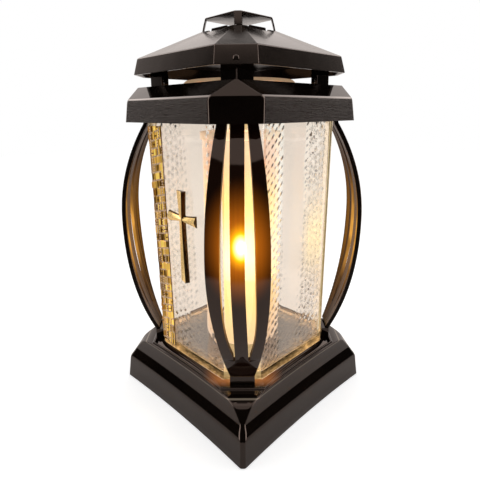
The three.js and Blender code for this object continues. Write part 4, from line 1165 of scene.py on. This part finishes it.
# The two bars leaned back with the glass and set on its front face.
def crossPiece():
    size = crossSize
    bars = [crossBar("stem"), crossBar("arms")]
    lean = math.atan(size["leanOut"] / size["leanRise"])
    face = -(glassHalf(size["height"]) + 0.3)
    moved = []
    for (grid, blocks), _ in bars:
        x, y, z = grid[..., 0], grid[..., 1], grid[..., 2]
        leaned = [x + size["sideways"], y * math.cos(lean) - z * math.sin(lean) + face,
                  y * math.sin(lean) + z * math.cos(lean) + size["height"]]
        moved.append((np.stack(leaned, -1), blocks))
    piece = joinParts("flared_cross", moved)
    # the gold with painted highlights for the lit facets, and its painted-shade copy
    piece.data.materials.append(goldCross)
    piece.data.materials.append(paintedShadeCross)
    piece.data.polygons.foreach_set("material_index", bars[0][1] + bars[1][1])
    return piece


settle(addBevel(crossPiece(), crossSize["bevel"], 2, 25), None, "gold_metal", "lantern", "gold_cross")
print("ornaments made")

# Lower tier of the lid: rows outside and under, each half width, cut, height, fillet and
# rounding, the smoke hole's radius, and the seat wall's half widths, heights and roundings
lidSize = dict(
    skirtBottom=245.7, skirtTop=262.9, topHalf=77.1, deckTop=268.9, deckUnder=266.4, hole=36.0,
    outer=[(78.5, 17.4, 245.7, 3.0, 0.4), (77.1, 17.8, 262.9, 3.0, 2.6), (61.2, 0.6, 274.0, 0.6, 0.4),
           (58.7, 0.6, 274.0, 0.6, 0.4), (58.7, 0.6, 268.9, 0.6, 0.8), (43.0, 8.0, 268.9, 6.0, 0.0)],
    under=[(43.0, 8.0, 266.4, 6.0, 0.0), (67.8, 9.0, 266.4, 0.6, 0.5), (74.6, 16.4, 261.65, 0.8, 1.0),
           (76.0, 16.0, 245.7, 0.8, 0.4)],
    seat=[(56.4, 250.3, 0.3), (56.4, 255.2, 0.0), (60.6, 255.2, 0.3), (60.6, 267.2, 0.0), (58.2, 267.2, 0.0),
          (58.2, 257.5, 0.3), (54.6, 257.5, 0.3), (54.6, 250.3, 0.3)],
)


# Rows with no bow put in, as the skin wants them.
def flatRows(rows):
    return [[half, cut, height, 0, fillet, rounding] for half, cut, height, fillet, rounding in rows]


# The lower tier: outside in to the round hole, back out underneath, and the seat wall.
# The hole's rings are circles at the angles of the ring beside them.
def lidShellPiece():
    size = lidSize
    options = dict(steps=4, perSide=10, perCorner=5, arc=3)
    outer = cutSquareSkin(flatRows(size["outer"]), **options)
    inner = cutSquareSkin(flatRows(size["under"]), **options)
    angle = np.arctan2(outer[-1, :, 1], outer[-1, :, 0])
    holes = [circles(size["hole"], size[height], angle) for height in ("deckTop", "deckUnder")]
    grid = np.concatenate([outer, holes, inner])
    seat = [[half, 12, height, 0, 1, rounding] for half, height, rounding in size["seat"]]
    grids = (grid, cutSquareSkin(seat, closed=True, steps=2))
    return joinParts("lid_tier", lidParts([gridPart(part, closeRows=True) for part in grids]))


# The outer skirt faces between the chamfers get the second material, the wood grain:
# those that face one axis squarely, far out, between two heights.
def grainFaces(piece, lowest, highest):
    mesh = piece.data
    normals = np.zeros(len(mesh.polygons) * 3)
    centres = np.zeros(len(mesh.polygons) * 3)
    mesh.polygons.foreach_get("normal", normals)
    mesh.polygons.foreach_get("center", centres)
    level, centres = np.abs(normals.reshape(-1, 3)[:, :2]), centres.reshape(-1, 3) / mm
    square = (level.max(axis=1) > 0.87) & (level.min(axis=1) < 0.1)
    outside = np.abs(centres[:, :2]).max(axis=1) > lidSize["topHalf"] - 2
    between = (centres[:, 2] > lowest) & (centres[:, 2] < highest)
    mesh.polygons.foreach_set("material_index", (square & outside & between).astype(np.int32))


lidTier = settle(addWeights(lidShellPiece()), lidPlastic, "dark_plastic", "lid", "lid_lower")
lidTier.data.materials.append(grainPlastic)
grainFaces(lidTier, lidSize["skirtBottom"] + 0.5, lidSize["skirtTop"] + 0.4)

# Upper tier: skirt, eave and crown as half width, cut and height, the vent, and the dips
roofSize = dict(
    bottom=(70.3, 14.3, 283.0), eave=(67.5, 13.7, 295.7), crown=(23.3, 2.95, 317.0), vent=(22.2, 4.0),
    wall=2.4, dip=3.1, dipShares=(0.52, 0.60), kink=0.88, cornerOut=79.4, cornerIn=27.4,
)


# The roof's shell. Near the crown each side's middle stretch, up to just over half of the
# way to the corner, dips between the legs.
def roofPiece():
    size = roofSize
    wall, dip = size["wall"], size["dip"]
    bottom, eave, crown, vent = size["bottom"], size["eave"], size["crown"], size["vent"]
    kink = [low * (1 - size["kink"]) + high * size["kink"] for low, high in zip(eave, crown)]
    rows = flatRows([
        (*bottom, 1.6, 0.5), (*eave, 1.6, 0.8), (*kink, 0.5, 0.0), (*crown, 0.5, 0.3),
        (*vent, crown[2], 0.5, 0.2), (*vent, crown[2] - dip - wall, 0.5, 0.2),
        (eave[0] - wall, 13.0, eave[2] - wall, 0.8, 1.2), (bottom[0] - wall, 13.4, bottom[2], 0.6, 0.5),
    ])
    grid = cutSquareSkin(rows, closed=True, steps=4, perSide=16, perCorner=4, arc=3)
    level = np.abs(grid[..., :2])
    flat, along = level.max(axis=-1), level.min(axis=-1)
    side = flat - rootTwo * np.interp(flat, [22, 67.5], [3.4, 13.7])
    inDip = 1 - smoothStep(*size["dipShares"], along / np.maximum(side, 1))
    grid[..., 2] -= np.where(grid[..., 2] > crown[2] - 0.8, dip * inDip, 0)
    return joinParts("roof_tier", lidParts([gridPart(grid, closeRows=True)]))


settle(addWeights(roofPiece()), roofPlastic, "dark_plastic", "lid", "roof_upper")


# The height of the roof's underside over points: the lower of the side's slope and the
# corner's slope, each a straight line from the eave to the vent.
def roofUnder(x, y):
    size = roofSize
    innerEave = size["eave"][2] - size["wall"]
    rise = size["crown"][2] - size["dip"] - size["wall"] - innerEave
    sideOut, sideIn = size["eave"][0] - size["wall"], size["vent"][0]
    side = (sideOut - np.maximum(np.abs(x), np.abs(y))) / (sideOut - sideIn)
    corner = (size["cornerOut"] - (np.abs(x) + np.abs(y)) / rootTwo) / (size["cornerOut"] - size["cornerIn"])
    return innerEave + rise * np.minimum(side, corner)


# Posts: angle sections with their outer corner at this reach, arm length, thickness
postSize = dict(reach=75.0, arm=16.5, thick=2.6, foot=0.3, headGap=0.4, bevel=0.5)


# An L-shaped prism from the deck up to just under the roof.
def postPiece(name, quarter):
    size = postSize
    c = size["reach"] / rootTwo
    arm, thick = c - size["arm"], c - size["thick"]
    outline = np.array([(c, c), (arm, c), (arm, thick), (thick, thick), (thick, arm), (c, arm)])
    tops = roofUnder(outline[:, 0], outline[:, 1]) - size["headGap"]
    points, blocks = prismPart(outline, lidSize["deckTop"] + size["foot"], tops)
    return addBevel(joinParts(name, lidParts([(turned(points, 90 * quarter), blocks)])), size["bevel"])


# Pins: radius, way out from the face and rounding of each row, the face and the height
pinSize = dict(
    face=84.45, height=286.8,
    rows=[(1.2, 4.0, 0.0), (1.2, 0.0, 0.0), (2.1, 0.0, 0.1), (2.1, -0.35, 0.3), (1.2, -0.85, 0.5),
          (0.05, -0.95, 0.0)],
)


# A turned stud laid on its side, so that its axis points out of the corner.
def pinPiece(name, quarter):
    grid, blocks = gridPart(turnedSkin(pinSize["rows"], 24), caps=True)
    laid = np.stack([pinSize["face"] - grid[..., 2], grid[..., 0], pinSize["height"] + grid[..., 1]], -1)
    blocks = [block[:, ::-1] for block in blocks]
    return joinParts(name, lidParts([(turned(laid, 45 + 90 * quarter), blocks)]))


for quarter, place in enumerate(placeNames):
    settle(postPiece("angle_post_" + place, quarter), lidPlastic, "dark_plastic", "lid", "post_" + place)
for quarter, place in enumerate(placeNames):
    settle(pinPiece("corner_stud_" + place, quarter), roofPlastic, "dark_plastic", "lid", "pin_" + place)

# Collar: rows of half width, cut, height, fillet and rounding, and its tongues
collarSize = dict(
    rows=[(25.0, 5.4, 307.8, 0.5, 0.2), (25.0, 5.4, 309.2, 0.5, 0.2), (21.8, 4.0, 309.2, 0.5, 0.0),
          (21.8, 4.0, 313.1, 0.5, 0.2), (20.3, 3.6, 313.1, 0.5, 0.2), (20.3, 3.6, 307.8, 0.5, 0.2)],
    tongue=[(-10.5, 311.6), (10.5, 311.6), (8.8, 318.4), (-8.8, 318.4)], tongueReach=20.35,
    tongueThick=1.4, bevel=0.3,
)


# A flanged ring with a tapered tongue standing on each side.
def collarPiece():
    size = collarSize
    parts = [gridPart(cutSquareSkin(flatRows(size["rows"]), closed=True, steps=2), closeRows=True)]
    inner = np.column_stack([np.full(4, size["tongueReach"]), np.array(size["tongue"])])
    points = np.concatenate([inner, inner + np.array([size["tongueThick"], 0, 0])])
    i = np.arange(4)
    after = (i + 1) % 4
    sides = np.stack([i, after, 4 + after, 4 + i], -1)
    parts += fourTimes(points, [i[None, ::-1], 4 + i[None], sides])
    return joinParts("chimney_collar", lidParts(parts))


settle(addBevel(collarPiece(), collarSize["bevel"], 2), roofPlastic, "dark_plastic", "lid", "vent_collar")

# Cap: rows of the plate, and the legs' heights, reaches and section as offset and side
capSize = dict(
    plate=[(0.4, 0.1, 326.2, 0.1, 0), (21.0, 2.44, 326.2, 2.0, 0.3), (21.0, 2.44, 327.6, 2.0, 0.6),
           (0.6, 0.07, 330.4, 0.1, 0.3)],
    legs=[(317.3, 29.8), (322.15, 28.7), (327.0, 27.3)], bevel=0.25,
    section=[(-1.2, 2.8), (-0.5, 0), (-1.2, -2.8), (-0.1, -2.8), (0.4, 0), (-0.1, 2.8)],
)


# A shallow pyramid on four bent flat legs, each a section carried up a leaning line.
def capPiece():
    size = capSize
    plate = cutSquareSkin(flatRows(size["plate"]), steps=3, perSide=4, perCorner=3, arc=4)
    parts = [gridPart(plate, caps=True)]
    section = np.array(size["section"])[::-1]
    rows = [np.column_stack([reach + section[:, 0], section[:, 1], np.full(6, height)])
            for height, reach in size["legs"][::-1]]
    parts += fourTimes(*gridPart(np.array(rows), caps=True), 45)
    return joinParts("chimney_cap", lidParts(parts))


settle(addBevel(capPiece(), capSize["bevel"], 2, 35), roofPlastic, "dark_plastic", "lid", "vent_cap")

# Heat shield: rows of radius, height and rounding, and its lugs
dishSize = dict(
    rows=[(0.05, 277.6, 0.0), (43.9, 277.6, 0.6), (46.5, 275.9, 0.1), (47.3, 275.9, 0.1), (44.7, 278.4, 0.8),
          (30.0, 278.4, 0.0), (29.4, 278.1, 0.3), (28.8, 278.4, 0.0), (0.05, 278.4, 0.0)],
    lug=[(43.8, 4), (43.1, 4), (43.1, -4), (43.8, -4)], lugHeights=(269.2, 277.8),
)


# A turned dish with a pressed ring, on four flat lugs.
def shieldPiece():
    parts = [gridPart(turnedSkin(dishSize["rows"]), caps=True)]
    parts += fourTimes(*prismPart(dishSize["lug"], *dishSize["lugHeights"]))
    return joinParts("heat_dish", lidParts(parts))


settle(shieldPiece(), goldTin, "gold_tin", "lid", "heat_shield")
print("lid made")

# Candle: for each turned piece its name, rows of radius, height and rounding, sides, and
# whether the section closes on itself, then its material, slot and CAD node
candlePieces = [
    ("candle_sleeve",
     [(0.05, 50.1, 0.0), (31.8, 50.1, 5.0), (31.8, 236.1, 0.2), (31.2, 236.1, 0.2), (31.2, 51.6, 4.0),
      (0.05, 51.6, 0.0)], 128, False, candleFilm, "cup_plastic", "candle_cup"),
    ("wax_fill",
     [(1.7, 52.8, 0.0), (30.8, 52.8, 4.0), (30.8, 112.0, 0.5), (29.2, 111.2, 1.0), (15.4, 110.4, 2.0),
      (1.7, 110.4, 0.0)], 96, True, waxCream, "wax", "candle_wax"),
    ("tin_top",
     [(16.0, 236.4, 0.1), (32.9, 236.4, 0.1), (32.9, 231.1, 0.1), (33.7, 231.1, 0.1), (33.7, 237.2, 0.5),
      (29.0, 237.2, 0.0), (28.4, 236.9, 0.2), (27.8, 237.2, 0.0), (16.0, 237.2, 0.1)],
     96, True, warmTin, "gold_tin", "candle_tin"),
    ("wick_thread",
     [(0.05, 53.0, 0.0), (1.25, 53.0, 0.2), (1.25, 116.0, 0.8), (0.9, 119.4, 0.6), (0.05, 120.2, 0.0)],
     24, False, wickDark, "wick_thread", "candle_wick"),
    ("wick_foot",
     [(0.05, 51.9, 0.0), (9.8, 51.9, 0.1), (9.8, 52.3, 0.2), (3.0, 52.5, 0.3), (0.05, 52.5, 0.0)],
     48, False, tinPlain, "plain_tin", "wick_sustainer"),
]
for name, rows, sides, closed, material, slot, cadNode in candlePieces:
    part = gridPart(turnedSkin(rows, sides, closed), closeRows=closed, caps=not closed)
    settle(joinParts(name, [part]), material, slot, "candle", cadNode)

flameSize = dict(foot=118.5, height=27.0, radius=4.6, rows=28, ballMiddle=131.0, ballRadius=15.0,
                 ballHalf=23.0, ballRows=24, sides=32)


# A closed body turned about the axis, over arrays of radius and height.
def roundBody(name, radius, height):
    angle = np.linspace(0, 2 * math.pi, flameSize["sides"], endpoint=False)
    return joinParts(name, [gridPart(circles(radius[:, None], height[:, None], angle), caps=True)])


# The flame's radius is the 0.9 power of the sine of half a turn times the 0.62 power of
# the share up it, so it is widest low down. The glow round it is an upright ellipsoid.
share = np.linspace(0, 1, flameSize["rows"])
radius = flameSize["radius"] * np.sin(np.pi * np.clip(share, 0.004, 1) ** 0.62) ** 0.9 + 0.02
flame = roundBody("flame", radius, flameSize["foot"] + flameSize["height"] * share)
settle(flame, flameFire, "wax", "candle")
turn = np.linspace(0.001, 0.999, flameSize["ballRows"]) * math.pi
ball = roundBody("flame_glow", flameSize["ballRadius"] * np.sin(turn),
                 flameSize["ballMiddle"] - flameSize["ballHalf"] * np.cos(turn))
settle(ball, flameGlow, "wax", "candle")
print("candle made")

# The room: the level direction towards its back, and the floor's light for each sort of ray
roomBack = (-0.712, 0.702, 0.0)
floorLook = dict(half=2500, top=-0.3, frontEdge=(-0.36, -0.30), sideEdge=(0.33, 0.37), camera=0.6,
                 through=0.42, mirrored=0.17)


# The masks of the rays that the camera sends, that mirrors send and that glass lets
# through. A ray through glass counts as glossy too, so that share is taken out.
def rayKinds(tree):
    path = node(tree, "ShaderNodeLightPath").outputs
    passing = Field(tree, path["Is Transmission Ray"])
    return Field(tree, path["Is Camera Ray"]), path["Is Glossy Ray"] * (1.0 - passing), passing


# White paper. In mirrors it ends in front of the lantern and to its sides, where the
# dark room begins.
def floorMaterial():
    look = floorLook
    material, tree = newMaterial("floor")
    vector = objectPoint(tree)[0]
    toBack = Field(tree, vectorMaths(tree, "DOT_PRODUCT", vector, roomBack).outputs["Value"])
    away = Field(tree, vectorMaths(tree, "LENGTH", vector).outputs["Value"])
    sideEdge = away.ramp(*look["sideEdge"]) * toBack.ramp(0.08, 0.3, 1.0, 0.0)
    paper = higher(toBack.ramp(*look["frontEdge"], 0.04, 1.0) * (1.0 - sideEdge), 0.02)
    camera, glossy, passing = rayKinds(tree)
    glow = camera * look["camera"] + passing * look["through"] + glossy * look["mirrored"] * paper
    kept = 1.0 - glossy * (1.0 - paper)
    colour = lightOf(tree, glossy, (0.72, 0.72, 0.72, 1), (0.8, 0.73, 0.69, 1), kept)
    white = node(tree, "ShaderNodeBsdfDiffuse", {"Color": colour})
    shine = node(tree, "ShaderNodeEmission", {"Color": (1, 1, 1, 1), "Strength": glow})
    return addShaders(material, white, shine)


half, top = floorLook["half"], floorLook["top"]
floor = makePiece("floor", [(-half, -half, top), (half, -half, top), (half, half, top), (-half, half, top)],
                  [[0, 1, 2, 3]])
floor.data.materials.append(floorMaterial())

# What mirrors show of the room. Turn is how far a level direction points to the back,
# rise how far it points up. Each light is a pair of soft edges in turn or rise.
worldLook = dict(rest=0.6, ceiling=(0.91, 0.97, 0.0, 1.5), frontBox=1.1, sideBoxes=4.0,
                 mirrorTint=(1.0, 0.91, 0.86, 1))


# A window: a smooth step up over the first pair of edges and down over the second.
def window(value, rising, falling, peak=1.0, rest=0.0):
    return value.ramp(*rising) * value.ramp(*falling, peak, rest)


# White for the camera. Mirrors see a bright back with a strip above it, dark sides with
# raised boxes, a dark front with one high box, and a dim ceiling. Glass sees a plain room.
def makeWorld():
    world = bpy.data.worlds.new("studio")
    bpy.context.scene.world = world
    world.use_nodes = True
    tree = world.node_tree
    tree.nodes.clear()
    direction = node(tree, "ShaderNodeTexCoord").outputs["Generated"]
    rise = Field(tree, node(tree, "ShaderNodeSeparateXYZ", {0: direction}).outputs["Z"])
    toBack = Field(tree, vectorMaths(tree, "DOT_PRODUCT", direction, roomBack).outputs["Value"])
    level = higher(1.0 - rise**2.0, 0.01)
    turn = toBack / level.maths("SQRT", level)
    back = turn.ramp(0.15, 0.5)
    front = turn.ramp(-0.65, -0.35, 1.0, 0.0)
    side = 1.0 - back - front
    box = window(rise, (0.6, 0.62), (0.93, 0.96))
    strip = window(turn, (-0.64, -0.58), (-0.34, -0.26)) * rise.ramp(0.5, 0.62, 5.0, 0.0)
    raised = window(rise, (0.47, 0.57), (0.8, 0.88), 1.0, 0.2)
    beam = window(turn, (0.38, 0.48), (0.76, 0.82)) * window(rise, (0.42, 0.48), (0.76, 0.8), 3.0)
    backPart = back * rise.ramp(0.53, 0.565, 1.1, 0.27) * rise.ramp(0.6, 0.64, 1.0, 0.1) + beam
    sidePart = side * (0.02 + raised * worldLook["sideBoxes"])
    frontPart = front * (0.015 + box * worldLook["frontBox"])
    mirrored = (backPart + sidePart) + (frontPart + rise.ramp(*worldLook["ceiling"])) + strip
    through = back * rise.ramp(0.5, 0.85, 0.93, 0.4) + (1.0 - back) * rise.ramp(0.3, 0.8, 0.2, 0.4)
    camera, glossy, passing = rayKinds(tree)
    rest = 1.0 - higher(camera, higher(glossy, passing))
    strength = camera + glossy * mirrored + passing * through + rest * worldLook["rest"]
    tone = mixColour(tree, glossy, (1, 1, 1, 1), worldLook["mirrorTint"])
    background = node(tree, "ShaderNodeBackground", {"Color": tone, "Strength": strength})
    output = node(tree, "ShaderNodeOutputWorld")
    tree.links.new(background.outputs[0], output.inputs[0])


makeWorld()

# Lamps: azimuth and elevation in degrees, size in metres and power. All aim at the
# lantern's middle from the same distance.
lamps = dict(top_box=(225, 75, 1.2, 4.0), left_box=(320, 50, 0.8, 2.2), right_box=(130, 50, 0.8, 3.0))
lampAim = dict(target=(0, 0, 0.15), distance=1.8)
candleLight = dict(height=0.165, power=0.35, colour=(1.0, 0.62, 0.25), radius=0.006)


# A square soft box. Azimuth 0 is the face with the cross, and elevation counts from level.
def areaLamp(name, azimuth, elevation, size, power):
    lamp = bpy.data.lights.new(name, "AREA")
    lamp.shape = "RECTANGLE"
    lamp.size, lamp.size_y = size, size
    lamp.energy = power
    held = bpy.data.objects.new(name, lamp)
    bpy.context.scene.collection.objects.link(held)
    a, e = math.radians(azimuth), math.radians(elevation)
    away = Vector((math.sin(a) * math.cos(e), -math.cos(a) * math.cos(e), math.sin(e)))
    held.location = Vector(lampAim["target"]) + away * lampAim["distance"]
    held.rotation_euler = away.to_track_quat("Z", "Y").to_euler()


# The candle's own light, a small ball that mirrors and glass don't show.
def candleLamp():
    lamp = bpy.data.lights.new("candle_light", "POINT")
    lamp.energy = candleLight["power"]
    lamp.color = candleLight["colour"]
    lamp.shadow_soft_size = candleLight["radius"]
    held = bpy.data.objects.new("candle_light", lamp)
    held.location = (0, 0, candleLight["height"])
    held.visible_transmission = False
    held.visible_glossy = False
    bpy.context.scene.collection.objects.link(held)


for name, values in lamps.items():
    areaLamp(name, *values)
candleLamp()
print("room and light made")

# Camera: focal length and optical axis in pixels, place in millimetres, turns in degrees
view = dict(focal=408.43, distance=358.58, height=253.58, sideways=-0.75, pitch=13.0, roll=-0.534, yaw=-0.397,
            axis=(240.5, 205.75), picture=480, sensor=36)


# The camera stands on the diagonal between the two front faces, tilted down by the pitch.
# The lens is the focal length as a share of the picture, times the sensor.
def makeCamera():
    data = bpy.data.cameras.new("camera")
    camera = bpy.data.objects.new("camera", data)
    bpy.context.scene.collection.objects.link(camera)
    turn = Matrix.Rotation(math.radians(45 - view["yaw"]), 4, "Z")
    camera.location = turn @ (Vector((view["sideways"], -view["distance"], view["height"])) * mm)
    tilt = turn @ Matrix.Rotation(math.radians(90 - view["pitch"]), 4, "X")
    camera.rotation_euler = (tilt @ Matrix.Rotation(math.radians(view["roll"]), 4, "Z")).to_euler()
    data.sensor_width = view["sensor"]
    data.lens = view["focal"] / view["picture"] * view["sensor"]
    data.shift_x = (view["picture"] / 2 - view["axis"][0]) / view["picture"]
    data.shift_y = (view["axis"][1] - view["picture"] / 2) / view["picture"]
    data.clip_start = 0.01
    data.clip_end = 50
    bpy.context.scene.camera = camera


makeCamera()
bpy.context.scene.view_settings.view_transform = "Standard"
